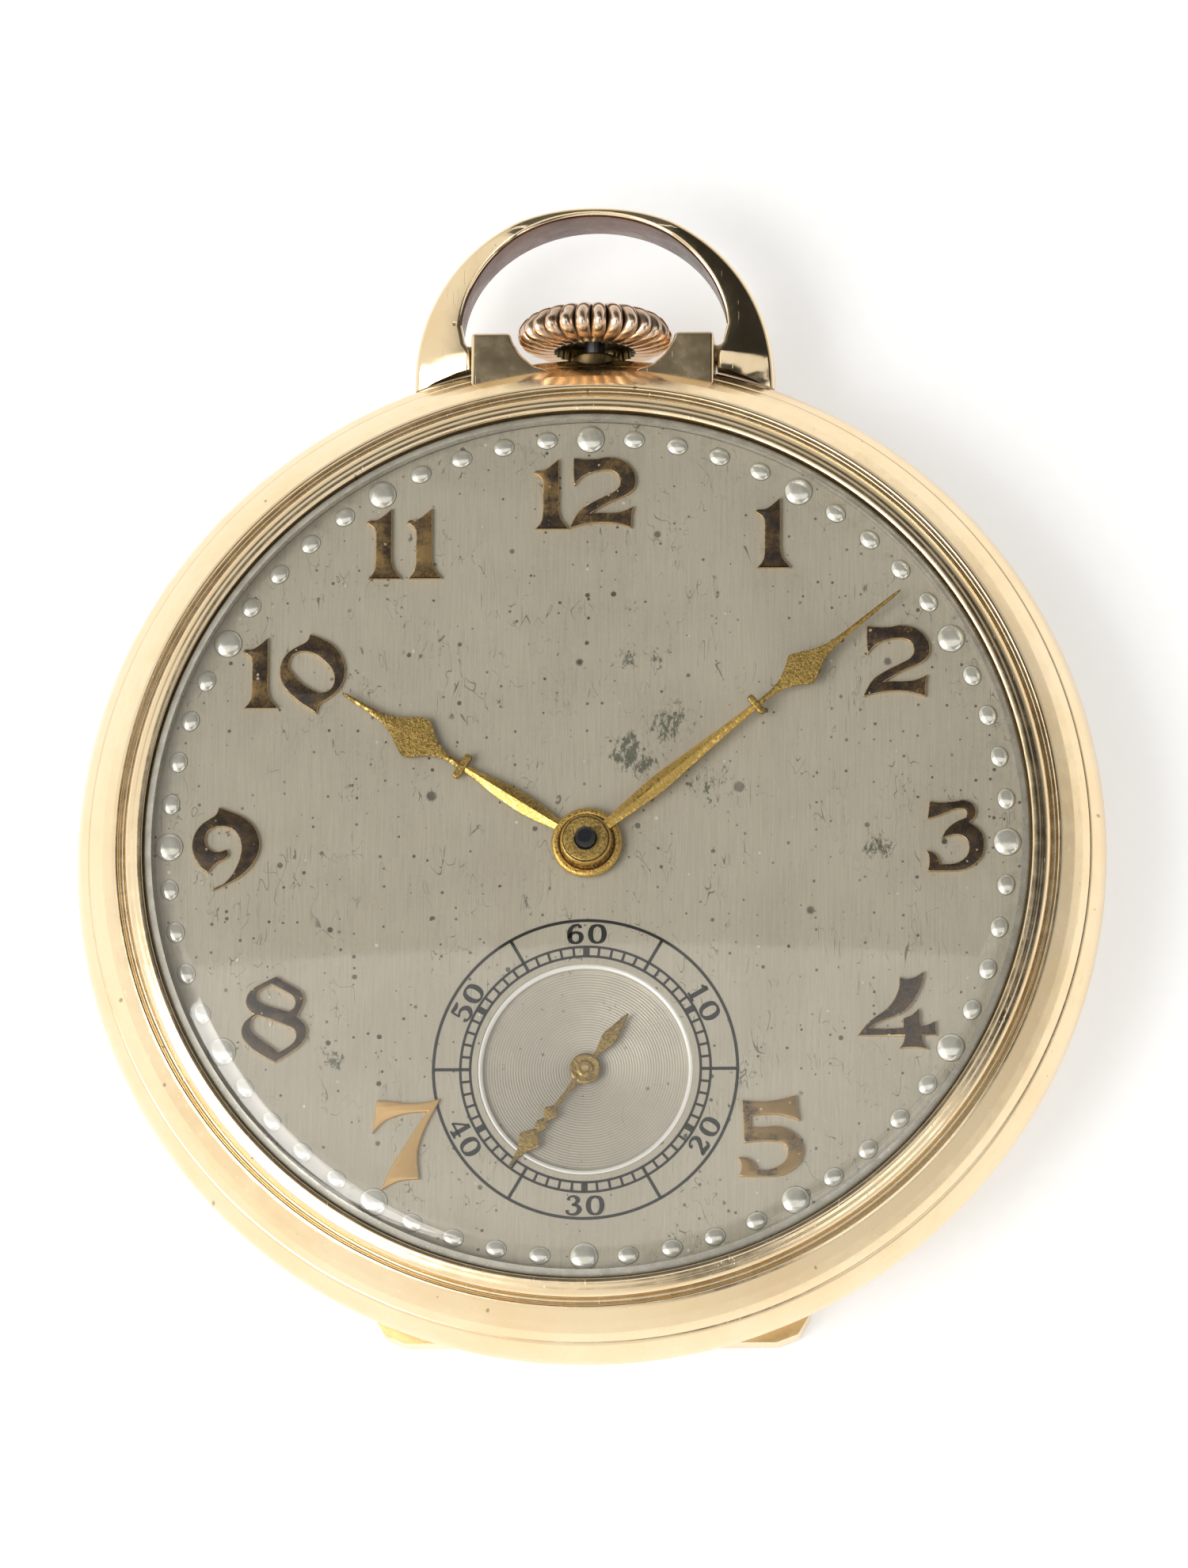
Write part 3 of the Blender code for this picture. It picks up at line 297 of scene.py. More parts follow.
def block_mesh(low, high):
    corners = [(x, y, z) for x in (low[0], high[0]) for y in (low[1], high[1])
               for z in (low[2], high[2])]
    faces = [(0, 1, 3, 2), (4, 6, 7, 5), (0, 4, 5, 1), (2, 3, 7, 6), (0, 2, 6, 4), (1, 5, 7, 3)]
    return mesh_from("block", corners, faces)


def rod_mesh(radius, low, high, at, axis="X", steps=40):
    """A closed rod along X or Y through a point."""
    vertices, faces = [], []
    for end in (low, high):
        for i in range(steps):
            a = 2 * math.pi * i / steps
            u, v = radius * math.cos(a), radius * math.sin(a)
            spot = (end, at[1] + u, at[2] + v) if axis == "X" else (at[0] + u, end, at[2] + v)
            vertices.append(spot)
    for i in range(steps):
        j = (i + 1) % steps
        faces.append((i, j, steps + j, steps + i))
    faces.append(tuple(range(steps)))
    faces.append(tuple(range(2 * steps - 1, steps - 1, -1)))
    return mesh_from("rod", vertices, faces)


# ---- materials ------------------------------------------------------------------------------
FLAT = (1.0, 1.0, 0.0)       # a stretch that drops the height
SPECK_EDGE = 0.02            # softness of a speck, in cells


class Surface:
    """A node material built up step by step in object space."""

    def __init__(self, name):
        self.material = bpy.data.materials.new(name)
        self.material.use_nodes = True
        self.tree = self.material.node_tree
        self.shader = self.tree.nodes["Principled BSDF"]
        self.space = self.tree.nodes.new("ShaderNodeTexCoord").outputs["Object"]

    def node(self, kind, sockets=None, **values):
        """A node with its settings and with values or links for its sockets."""
        node = self.tree.nodes.new("ShaderNode" + kind)
        for key, value in values.items():
            setattr(node, key, value)
        for key, value in (sockets or {}).items():
            self.feed(node.inputs[key], value)
        return node

    def feed(self, socket, value):
        if isinstance(value, bpy.types.NodeSocket):
            self.tree.links.new(value, socket)
        elif value is not None:
            socket.default_value = value

    def mapped(self, stretch=(1.0, 1.0, 1.0), turn=0.0, shift=(0.0, 0.0, 0.0)):
        node = self.node("Mapping", {"Vector": self.space, "Scale": stretch, "Location": shift,
                                     "Rotation": (0.0, 0.0, math.radians(turn))})
        return node.outputs["Vector"]

    def noise(self, size, detail=4.0, rough=0.55, vector=None, warp=0.0):
        """Noise whose features are about size millimetres wide."""
        node = self.node("TexNoise", {"Vector": vector or self.space, "Scale": 1.0 / (size * MM),
                                      "Detail": detail, "Roughness": rough, "Distortion": warp})
        return node.outputs["Fac"]

    def ramp(self, value, low, high, out_low=0.0, out_high=1.0):
        """A smooth step from one output value to the other between two input values."""
        node = self.node("MapRange", {"Value": value, "From Min": low, "From Max": high,
                                      "To Min": out_low, "To Max": out_high},
                         interpolation_type="SMOOTHSTEP")
        return node.outputs["Result"]

    def math(self, kind, *values):
        return self.node("Math", dict(enumerate(values)), operation=kind).outputs["Value"]

    def times(self, a, b):
        return self.math("MULTIPLY", a, b)

    def plus(self, a, b):
        return self.math("ADD", a, b)

    def less(self, a, b):
        return self.math("SUBTRACT", a, b)

    def most(self, *values):
        """The highest of several values."""
        top = values[0]
        for value in values[1:]:
            top = self.math("MAXIMUM", top, value)
        return top

    def mix(self, share, a, b):
        node = self.node("Mix", {"Factor": share, "A": color(a), "B": color(b)}, data_type="RGBA")
        return node.outputs["Result"]

    def scratches(self, size, turn, limit=0.70, long=14.0):
        """Fine straight scratches in one direction."""
        streak = self.mapped((1.0, 1.0 / long, 1.0), turn)
        return self.ramp(self.noise(size, 2.0, 0.6, streak), limit, limit + 0.035)

    def specks(self, cell, largest, rarity=5.0):
        """Scattered ragged dots: one place in each cell, its size drawn at random."""
        wobble = self.node("TexNoise", {"Vector": self.space, "Scale": 1.0 / (0.3 * largest * MM)})
        shift = self.node("VectorMath", {0: wobble.outputs["Color"], 1: (0.5 * largest * MM,) * 3,
                                         2: self.mapped(FLAT)}, operation="MULTIPLY_ADD")
        dots = self.node("TexVoronoi", {"Vector": shift.outputs[0], "Scale": 1.0 / (cell * MM)},
                         voronoi_dimensions="2D")
        draw = self.node("SeparateColor", {0: dots.outputs["Color"]})
        size = self.times(self.math("POWER", draw.outputs["Red"], rarity), largest / cell)
        size = self.less(size, SPECK_EDGE)
        away = self.less(dots.outputs["Distance"], size)
        return self.ramp(away, -SPECK_EDGE, SPECK_EDGE, 1.0, 0.0)

    def hairs(self, size, turn, width=0.004):
        """Thin wandering lines: the level lines of a stretched noise."""
        field = self.noise(size, 2.0, 0.5, self.mapped((1.0, 0.4, 1.0), turn), 0.6)
        away = self.math("ABSOLUTE", self.less(field, 0.5))
        return self.ramp(away, width * 0.4, width, 1.0, 0.0)

    def crevice(self, reach):
        """1 in deep corners and 0 on open faces."""
        node = self.node("AmbientOcclusion", {"Distance": reach * MM}, samples=6)
        return self.ramp(node.outputs["AO"], 0.35, 0.85, 1.0, 0.0)

    def bump(self, height, depth, strength=1.0, after=None):
        """Bump of a height map, depth in millimetres."""
        node = self.node("Bump", {"Strength": strength, "Distance": depth * MM, "Height": height,
                                  "Normal": after})
        return node.outputs["Normal"]

    def spot(self, centre, radius, soft):
        """1 near a point on the dial plane, falling to 0 at a radius."""
        return self.ramp(self.distance(centre), radius * soft * MM, radius * MM, 1.0, 0.0)

    def distance(self, centre):
        """Distance from a point on the dial plane in metres."""
        node = self.node("VectorMath", {0: self.mapped(FLAT),
                                        1: (centre[0] * MM, centre[1] * MM, 0.0)},
                         operation="DISTANCE")
        return node.outputs["Value"]

    def finish(self, base, rough, normal, metal, coat=0.0):
        self.feed(self.shader.inputs["Base Color"], color(base))
        self.feed(self.shader.inputs["Roughness"], rough)
        self.feed(self.shader.inputs["Metallic"], metal)
        self.feed(self.shader.inputs["Normal"], normal)
        self.feed(self.shader.inputs["Coat Weight"], coat)
        return self.material


def color(value):
    return (*value, 1.0) if isinstance(value, tuple) and len(value) == 3 else value


PALE_GOLD = (0.93, 0.755, 0.50)
WARM_GOLD = (0.86, 0.60, 0.30)
# Near-black brown: the colour of pits, and through the occlusion mask also of painted shade in
# corners.
GRIME_AND_SHADE = (0.055, 0.036, 0.018)


def worn_metal(name, pale=PALE_GOLD, warm=WARM_GOLD, grime_and_shade_color=GRIME_AND_SHADE, rough=0.16, rough_spread=0.14,
               wear=1.0, crevices=0.5, tarnish=0.35):
    """Polished plate gone soft with handling: clouded, scuffed, pitted, and darkened in its corners
    by grime and painted shade.
    """
    s = Surface(name)
    cloud = s.ramp(s.noise(5.0, 4.0, 0.6), 0.36, 0.68)
    haze = s.noise(0.9, 5.0, 0.65)
    pits = s.specks(2.0, 0.13, 6.0)
    lines = s.most(s.scratches(0.16, 28.0, 0.71), s.scratches(0.2, -52.0, 0.72),
                   s.scratches(0.12, 84.0, 0.72))
    base = s.mix(s.times(cloud, tarnish), pale, warm)
    base = s.mix(s.times(pits, 0.55 * wear), base, grime_and_shade_color)
    # Occlusion darkens the corners toward the near-black colour: partly real grime, partly painted
    # shade where light can't reach.
    crevice_grime_and_shade = s.times(s.crevice(0.35), crevices)
    base = s.mix(crevice_grime_and_shade, base, grime_and_shade_color)
    roughness = s.plus(s.ramp(haze, 0.3, 0.75, rough, rough + rough_spread),
                      s.times(lines, 0.16 * wear))
    roughness = s.plus(roughness, s.times(crevice_grime_and_shade, 0.35))
    height = s.less(s.times(haze, 0.5), s.times(lines, 0.5 * wear))
    height = s.less(height, s.times(pits, 0.9 * wear))
    normal = s.bump(height, 0.006)
    normal = s.bump(s.noise(6.0, 2.0, 0.5), 0.05, 0.5, normal)
    return s.finish(base, roughness, normal, 1.0)


def brushed_metal(name, light, dark, rough, pitch, turn=0.0, rings=None):
    """Plain grained metal for the inner works; rings turns the grain round an axis point."""
    s = Surface(name)
    if rings is None:
        grain = s.noise(pitch, 3.0, 0.6, s.mapped((1.0, 0.03, 1.0), turn))
    else:
        wave = s.times(s.distance(rings), 2 * math.pi / (pitch * MM))
        grain = s.ramp(s.math("SINE", wave), -1.0, 1.0)
    cloud = s.noise(1.6, 4.0, 0.6)
    base = s.mix(s.ramp(cloud, 0.3, 0.7), light, dark)
    # Corners darkened by occlusion: grime and painted shade.
    base = s.mix(s.times(s.crevice(0.3), 0.6), base, GRIME_AND_SHADE)
    roughness = s.plus(s.ramp(grain, 0.3, 0.7, rough, rough + 0.12),
                      s.ramp(cloud, 0.3, 0.7, 0.0, 0.08))
    return s.finish(base, roughness, s.bump(grain, 0.004, 0.7), 1.0)


# stains of the dial: centre, radius, strength
STAINS = (((1.7, 4.1), 1.5, 1.0), ((3.6, 5.4), 1.6, 0.9), ((2.5, 3.5), 1.2, 0.9),
          ((5.2, 2.6), 1.7, 0.6), ((1.6, 8.3), 1.0, 0.7), ((-10.9, -9.4), 1.0, 0.8),
          ((12.4, -0.2), 1.2, 0.9), ((-1.2, 6.2), 1.2, 0.4), ((-10.0, 2.3), 1.2, 0.5),
          ((3.0, 8.6), 1.3, 0.5), ((-12.9, 8.8), 0.9, 0.5), ((-6.8, 4.2), 1.2, 0.3))


def dial_silver():
    """Silvered dial: fine upright brushing, specks, stains and hairline scratches."""
    s = Surface("dial_silver")
    fine = s.noise(0.06, 2.0, 0.6, s.mapped((1.0, 0.03, 1.0)))
    cloud = s.noise(4.5, 4.0, 0.55)
    grain = s.noise(0.13, 3.0, 0.65)
    base = s.mix(s.ramp(cloud, 0.32, 0.7), (0.51, 0.465, 0.368), (0.455, 0.41, 0.322))
    base = s.mix(s.ramp(fine, 0.3, 0.72, 0.0, 0.26), base, (0.27, 0.24, 0.18))
    base = s.mix(s.ramp(grain, 0.40, 0.75, 0.0, 0.22), base, (0.58, 0.54, 0.44))
    # specks of tarnish, thicker in some places than others
    crowd = s.ramp(cloud, 0.3, 0.6, 0.6, 1.0)
    specks = s.most(s.specks(1.1, 0.15, 6.0), s.specks(0.62, 0.085, 4.0),
                    s.specks(3.3, 0.30, 4.0))
    specks = s.times(specks, crowd)
    base = s.mix(s.times(specks, 0.95), base, (0.06, 0.056, 0.038))
    base = s.mix(s.times(s.specks(1.5, 0.10, 5.0), 0.6), base, (0.85, 0.82, 0.74))
    # the greenish stains between the hands and the lesser ones round them
    stains = s.most(*[s.times(s.spot(centre, radius, 0.1), amount)
                      for centre, radius, amount in STAINS])
    blotch = s.noise(0.30, 6.0, 0.85, s.mapped((1.0, 0.6, 1.0), -55.0), 0.4)
    stain = s.ramp(s.plus(blotch, s.times(stains, 0.22)), 0.645, 0.70)
    base = s.mix(s.times(stain, 0.85), base, (0.075, 0.085, 0.055))
    # cracks and hairline scratches in patches
    patches = s.ramp(s.noise(3.2, 1.0, 0.5), 0.49, 0.56)
    hairs = s.most(s.hairs(0.9, 20.0), s.hairs(1.3, -60.0))
    hairs = s.times(hairs, s.ramp(s.noise(0.7, 2.0, 0.5), 0.46, 0.52))
    hairs = s.times(hairs, s.most(patches, stains))
    base = s.mix(s.times(hairs, 0.75), base, (0.09, 0.085, 0.06))
    lines = s.most(s.scratches(0.10, 62.0, 0.71, 40.0), s.scratches(0.11, -38.0, 0.71, 34.0),
                   s.scratches(0.09, 12.0, 0.72, 30.0))
    lines = s.times(lines, patches)
    base = s.mix(s.times(lines, 0.6), base, (0.15, 0.14, 0.11))
    edge = s.ramp(s.distance((0.0, 0.0)), 16.9 * MM, 18.5 * MM)
    grit = s.ramp(s.noise(0.5, 4.0, 0.6), 0.45, 0.7)
    base = s.mix(s.times(edge, s.times(grit, 0.35)), base, (0.26, 0.27, 0.20))
    roughness = s.ramp(fine, 0.3, 0.7, 0.44, 0.54)
    height = s.plus(s.times(fine, 0.5), s.times(grain, 0.3))
    height = s.less(height, s.times(lines, 0.8))
    return s.finish(base, roughness, s.bump(height, 0.003, 0.6), 0.2)


def seconds_silver():
    """Sunk seconds disc with fine turned rings."""
    s = Surface("seconds_silver")
    away = s.distance(tuple(SECONDS_AXIS.xy))
    rings = s.ramp(s.math("SINE", s.times(away, 2 * math.pi / (0.115 * MM))),
                   -1.0, 1.0)
    cloud = s.noise(1.8, 4.0, 0.55)
    base = s.mix(s.ramp(cloud, 0.32, 0.7), (0.56, 0.51, 0.42), (0.48, 0.44, 0.36))
    base = s.mix(s.times(rings, 0.45), base, (0.27, 0.245, 0.195))
    base = s.mix(s.times(s.specks(0.9, 0.10, 5.0), 0.7), base, (0.12, 0.11, 0.08))
    hairs = s.times(s.hairs(0.8, 35.0), s.ramp(s.noise(1.6, 1.0, 0.5), 0.52, 0.58))
    base = s.mix(s.times(hairs, 0.6), base, (0.14, 0.13, 0.10))
    rim = s.ramp(away, 4.36 * MM, 4.46 * MM)
    base = s.mix(rim, base, (0.84, 0.82, 0.76))
    roughness = s.ramp(cloud, 0.3, 0.7, 0.36, 0.48)
    return s.finish(base, roughness, s.bump(rings, 0.006, 0.9), 0.25)


def bead_silver():
    """Embossed beads, light in tone, with painted shade darkening the steep foot."""
    s = Surface("bead_silver")
    cloud = s.noise(0.5, 3.0, 0.6)
    base = s.mix(s.ramp(cloud, 0.35, 0.7), (0.90, 0.88, 0.80), (0.76, 0.74, 0.64))
    # Painted shade: steep faces near the foot are darkened by their slope, drawing a dark outline
    # round each bead.
    split = s.node("SeparateXYZ", {0: s.node("NewGeometry").outputs["Normal"]})
    foot_shade = s.ramp(split.outputs["Z"], 0.50, 0.72, 1.0, 0.0)
    base = s.mix(s.times(foot_shade, 0.85), base, (0.12, 0.12, 0.085))
    return s.finish(base, s.ramp(cloud, 0.3, 0.7, 0.10, 0.2), s.bump(cloud, 0.01, 0.5), 0.6)


def lacquered(name, gold_share, seed):
    """Raised numeral: dark lacquer over gold, rubbed through in places."""
    s = Surface(name)
    drift = (seed * 3.1 * MM, seed * 1.7 * MM, 0.0)
    wide = s.noise(1.5, 3.0, 0.6, s.mapped((1.0, 1.0, 1.0), 0.0, drift))
    fine = s.noise(0.14, 4.0, 0.7)
    mask = s.plus(s.times(wide, 0.8), s.times(fine, 0.2))
    level = 0.76 - 0.42 * gold_share
    bare = s.ramp(mask, level - 0.10, level + 0.12)
    brown = s.mix(s.ramp(s.noise(0.5, 3.0, 0.6), 0.35, 0.7), (0.030, 0.021, 0.016),
                  (0.095, 0.055, 0.022))
    gilt = (0.66, 0.42, 0.17) if gold_share > 1.0 else (0.34, 0.215, 0.08)
    base = s.mix(bare, brown, gilt)
    chips = s.specks(0.42, 0.07, 5.0)
    base = s.mix(s.times(chips, 0.8), base, (0.70, 0.60, 0.42))
    split = s.node("SeparateXYZ", {0: s.node("NewGeometry").outputs["True Normal"]})
    upright = s.ramp(split.outputs["Z"], 0.80, 0.97, 1.0, 0.0)
    base = s.mix(upright, base, (0.72, 0.52, 0.25))
    metal = s.most(s.ramp(bare, 0.0, 1.0, 0.25, 0.6), upright)
    roughness = s.plus(s.ramp(fine, 0.3, 0.7, 0.16, 0.34), s.times(bare, 0.15))
    return s.finish(base, roughness, s.bump(fine, 0.008, 0.6), metal)


def ink():
    s = Surface("dial_ink")
    flecks = s.ramp(s.noise(0.05, 3.0, 0.7), 0.60, 0.72)
    base = s.mix(s.times(flecks, 0.4), (0.010, 0.010, 0.009), (0.10, 0.095, 0.075))
    return s.finish(base, s.ramp(flecks, 0.0, 1.0, 0.42, 0.6), s.bump(flecks, 0.003, 0.5), 0.0)


def hand_gold(name, pitted, deep):
    """Gilt steel hands; the broad parts are dull and speckled, the shafts bright."""
    s = Surface(name)
    speck = s.ramp(s.noise(0.13, 4.0, 0.7), 0.44, 0.60)
    cloud = s.ramp(s.noise(0.8, 3.0, 0.6), 0.35, 0.7)
    light = tuple(c * deep for c in (0.80, 0.53, 0.15))
    base = s.mix(s.times(cloud, 0.5), light, tuple(c * 0.72 for c in light))
    base = s.mix(s.times(speck, pitted), base, (0.13, 0.095, 0.03))
    # Corners darkened by occlusion: grime and painted shade.
    base = s.mix(s.times(s.crevice(0.12), 0.6), base, (0.07, 0.045, 0.012))
    roughness = s.ramp(speck, 0.0, 1.0, 0.22 + 0.12 * pitted, 0.34 + 0.25 * pitted)
    return s.finish(base, roughness, s.bump(speck, 0.012, 0.3 + 0.5 * pitted), 1.0)


def blued(name, light, rough):
    s = Surface(name)
    cloud = s.noise(0.3, 4.0, 0.6)
    base = s.mix(s.ramp(cloud, 0.35, 0.7), light, tuple(c * 0.5 for c in light))
    return s.finish(base, s.ramp(cloud, 0.3, 0.7, rough, rough + 0.15), s.bump(cloud, 0.004, 0.5),
                    1.0)


def wheel_with_arbor():
    """Brass wheel on a dark polished steel arbor, both about the middle of the watch."""
    s = Surface("centre_wheel")
    cloud = s.ramp(s.noise(0.4, 3.0, 0.6), 0.35, 0.7)
    arbor = s.mix(cloud, (0.10, 0.11, 0.14), (0.045, 0.05, 0.07))
    brass = s.mix(cloud, (0.76, 0.56, 0.26), (0.60, 0.42, 0.17))
    share = s.ramp(s.distance((0.0, 0.0)), 0.52 * MM, 0.56 * MM)
    roughness = s.ramp(cloud, 0.0, 1.0, 0.14, 0.24)
    return s.finish(s.mix(share, arbor, brass), roughness, s.bump(cloud, 0.004, 0.4), 1.0)


def ruby():
    s = Surface("ruby_jewel")
    cloud = s.noise(0.4, 3.0, 0.5)
    base = s.mix(s.ramp(cloud, 0.35, 0.7), (0.55, 0.02, 0.06), (0.33, 0.005, 0.03))
    return s.finish(base, s.ramp(cloud, 0.3, 0.7, 0.04, 0.12), s.bump(cloud, 0.003, 0.4), 0.0,
                    coat=1.0)


GLASS_MIRROR = 0.04          # share of light the glass mirrors when seen square on


def watch_glass():
    """Clear old glass: it mirrors by its angle, with faint scuffs and a trace of haze."""
    s = Surface("crystal_glass")
    scuff = s.most(s.scratches(0.07, 33.0, 0.745, 60.0), s.scratches(0.08, -64.0, 0.75, 50.0))
    haze = s.noise(3.0, 4.0, 0.6)
    clear = s.node("BsdfTransparent", {"Color": (0.99, 0.99, 0.985, 1.0)})
    mirror = s.node("BsdfGlossy", {"Color": (1.0, 0.98, 0.94, 1.0),
                                   "Roughness": s.ramp(haze, 0.3, 0.7, 0.02, 0.05),
                                   "Normal": s.bump(haze, 0.01, 0.3)})
    facing = s.node("LayerWeight", {"Blend": 0.5}).outputs["Facing"]
    gleam = s.plus(s.times(s.math("POWER", facing, 5.0), 1.0 - GLASS_MIRROR), GLASS_MIRROR)
    milk = s.node("BsdfDiffuse", {"Color": (0.80, 0.81, 0.77, 1.0)})
    dull = s.node("MixShader", {0: s.times(scuff, 0.07), 1: clear.outputs[0], 2: milk.outputs[0]})
    whole = s.node("MixShader", {0: gleam, 1: dull.outputs[0], 2: mirror.outputs[0]})
    s.feed(s.tree.nodes["Material Output"].inputs["Surface"], whole.outputs[0])
    s.tree.nodes.remove(s.shader)
    return s.material


def ground_glass():
    """The bevelled shoulder of the crystal, grey with fine chips."""
    s = Surface("crystal_edge")
    cloud = s.noise(0.7, 4.0, 0.6)
    chips = s.ramp(s.noise(0.12, 2.0, 0.5), 0.66, 0.72)
    base = s.mix(s.ramp(cloud, 0.3, 0.7), (0.46, 0.44, 0.375), (0.34, 0.325, 0.27))
    base = s.mix(s.times(chips, 0.5), base, (0.72, 0.71, 0.66))
    return s.finish(base, s.ramp(cloud, 0.3, 0.7, 0.16, 0.34), s.bump(cloud, 0.012, 0.5), 0.2)


FLOOR_GLOW = 0.52


def floor_paper():
    """Pale light table: paper lit a little from below."""
    s = Surface("floor_paper")
    fibre = s.noise(0.6, 4.0, 0.6)
    base = s.mix(s.ramp(fibre, 0.3, 0.7), (0.62, 0.62, 0.615), (0.59, 0.59, 0.585))
    glow = s.node("Emission", {"Color": (1.0, 1.0, 0.995, 1.0), "Strength": FLOOR_GLOW})
    whole = s.node("AddShader", {0: s.shader.outputs[0], 1: glow.outputs[0]})
    s.feed(s.tree.nodes["Material Output"].inputs["Surface"], whole.outputs[0])
    return s.finish(base, 0.9, s.bump(fibre, 0.01, 0.2), 0.0)


GOLD = worn_metal("case_gold")
BOW_GOLD = worn_metal("bow_gold", rough=0.08, rough_spread=0.10)
BOW_COPPER = worn_metal("bow_copper", (0.17, 0.09, 0.065), (0.07, 0.038, 0.027), rough=0.24,
                        tarnish=0.9)
BACK_GOLD = worn_metal("back_gold", rough=0.20, wear=1.2)
# Near-black crevice colour at almost full strength: grime in the crown's grooves, with painted
# shade between its ribs and in its socket.
ROSE_GOLD = worn_metal("crown_rose_gold", (0.86, 0.66, 0.50), (0.66, 0.44, 0.29),
                       (0.03, 0.02, 0.012), wear=1.3, crevices=0.97, tarnish=0.6)
# Tarnished brass made very dark, partly painted shade under the crown; it also paints the shade in
# the crown's socket.
SHADED_SLEEVE_BRASS = worn_metal("sleeve_brass_painted_shade", (0.20, 0.165, 0.09), (0.11, 0.09, 0.045), rough=0.22,
                          crevices=0.9, tarnish=0.8)
DIAL = dial_silver()
SECONDS_DISC = seconds_silver()
BEAD = bead_silver()
INK = ink()
HAND_BRIGHT = hand_gold("hand_gold_bright", 0.2, 1.0)
HAND_DULL = hand_gold("hand_gold_dull", 0.75, 0.72)
HAND_SMALL = hand_gold("hand_gold_small", 0.7, 0.52)
GLASS = watch_glass()
GLASS_EDGE = ground_glass()
WORKS = {
    "gold_case": BACK_GOLD,
    "rose_gold": ROSE_GOLD,
    "gold_hands": HAND_DULL,
    "silvered_dial": DIAL,
    "glass": GLASS,
    "nickel": brushed_metal("nickel_damaskeened", (0.66, 0.65, 0.62), (0.52, 0.51, 0.48), 0.22, 0.5,
                            35.0),
    "brass": brushed_metal("movement_brass", (0.76, 0.56, 0.26), (0.60, 0.42, 0.17), 0.26, 0.25,
                           rings=(0.0, 0.0)),
    "steel": brushed_metal("movement_steel", (0.56, 0.56, 0.57), (0.42, 0.42, 0.43), 0.18, 0.18,
                           15.0),
    "blued_steel": blued("blued_steel", (0.035, 0.07, 0.30), 0.14),
    "ruby": ruby(),
}
for node in frame["nodes"].values():
    for index, material in enumerate(node.data.materials):
        node.data.materials[index] = WORKS[material.name.split(".")[0]]
frame["nodes"]["center_wheel"].data.materials[0] = wheel_with_arbor()


# ---- case -----------------------------------------------------------------------------------
FRONT_SIDE = [(20.30, 7.22), (20.95, 6.66), (21.62, 5.87), (22.02, 5.2), (22.2, 4.78),
              (RIM_RADIUS, RIM_Z), (22.2, 3.85), (22.02, 3.42)]
BACK_SIDE = [(21.9, 3.34), (21.75, 2.75), (21.3, 2.0), (20.4, 1.2), (19.0, 0.55), (17.4, 0.13),
             (16.4, 0.0)]


def case_envelope(gap):
    """The closed outer shape of the case, grown by a gap, to cut its neighbours clear of it."""
    sides = [(r + gap, z) for r, z in FRONT_SIDE + BACK_SIDE[1:4]]
    profile = [(0.0, 7.6), (20.2, 7.6)] + sides + [(0.0, 0.5)]
    return turned_mesh("envelope", profile, 180)


def handled(amount):
    """A reach function: the slight waves and dents of a carried case."""
    def reach(angle, radius, height):
        wave = math.sin(3 * angle + 0.7) + 0.6 * math.sin(7 * angle + 2.0)
        return radius + amount * wave, height
    return reach


def make_bezel():
    inner = [(20.93, 5.87), (20.93, 6.46), (18.87, 6.46), (18.87, 6.98), (19.15, 6.98)]
    crest = [(19.15, 7.60), (19.20, 7.64), (19.34, 7.66), (19.44, 7.63), (19.56, 7.56),
             (19.64, 7.545), (19.80, 7.46), (19.92, 7.31)]
    groove = [(19.96, 7.12), (20.01, 7.05), (20.13, 7.04), (20.20, 7.10), (20.25, 7.20),
              (20.34, 7.215), (20.46, 7.14)]
    band = [(20.95, 6.69), (21.30, 6.31), (21.44, 6.12), (21.56, 5.95), (21.60, 5.88)]
    profile = soften(crest + groove + band + inner, 0.05)
    mesh = turned_mesh("bezel_ring", profile, STEPS, sharp=50.0, reach=handled(0.004))
    add("bezel_ring", mesh, GOLD, "case", ["bezel"])


def make_middle():
    profile = [(20.05, 6.38), (20.85, 6.38), (20.85, 5.79), (21.58, 5.79), (21.68, 5.72)]
    profile += [(21.86, 5.47), (21.98, 5.30), (22.10, 5.02), (22.2, 4.72), (RIM_RADIUS, RIM_Z),
                (22.2, 3.85), (22.06, 3.47), (21.98, 3.42), (20.05, 3.42)]
    mesh = turned_mesh("middle_ring", soften(profile, 0.07), STEPS, sharp=50.0)
    hole = rod_mesh(1.13, 18.5, 24.0, (0.0, 0.0, STEM_Z), axis="Y", steps=48)
    mesh = carved("middle_ring", mesh, [hole], sharp=40.0)
    add("middle_ring", mesh, GOLD, "case", ["case_center"])


def strut_outline(grow):
    hinge_y, foot_y, side = -4.15 + grow, -21.1 - grow, 9.4 + grow
    half = [(-5.0 - grow, hinge_y), (-5.6 - grow, hinge_y - 1.0), (-side, foot_y + 2.6),
            (-side, foot_y + 1.2), (-side + 0.5, foot_y + 0.35), (-side + 1.4, foot_y)]
    return half + [(-x, y) for x, y in reversed(half)]


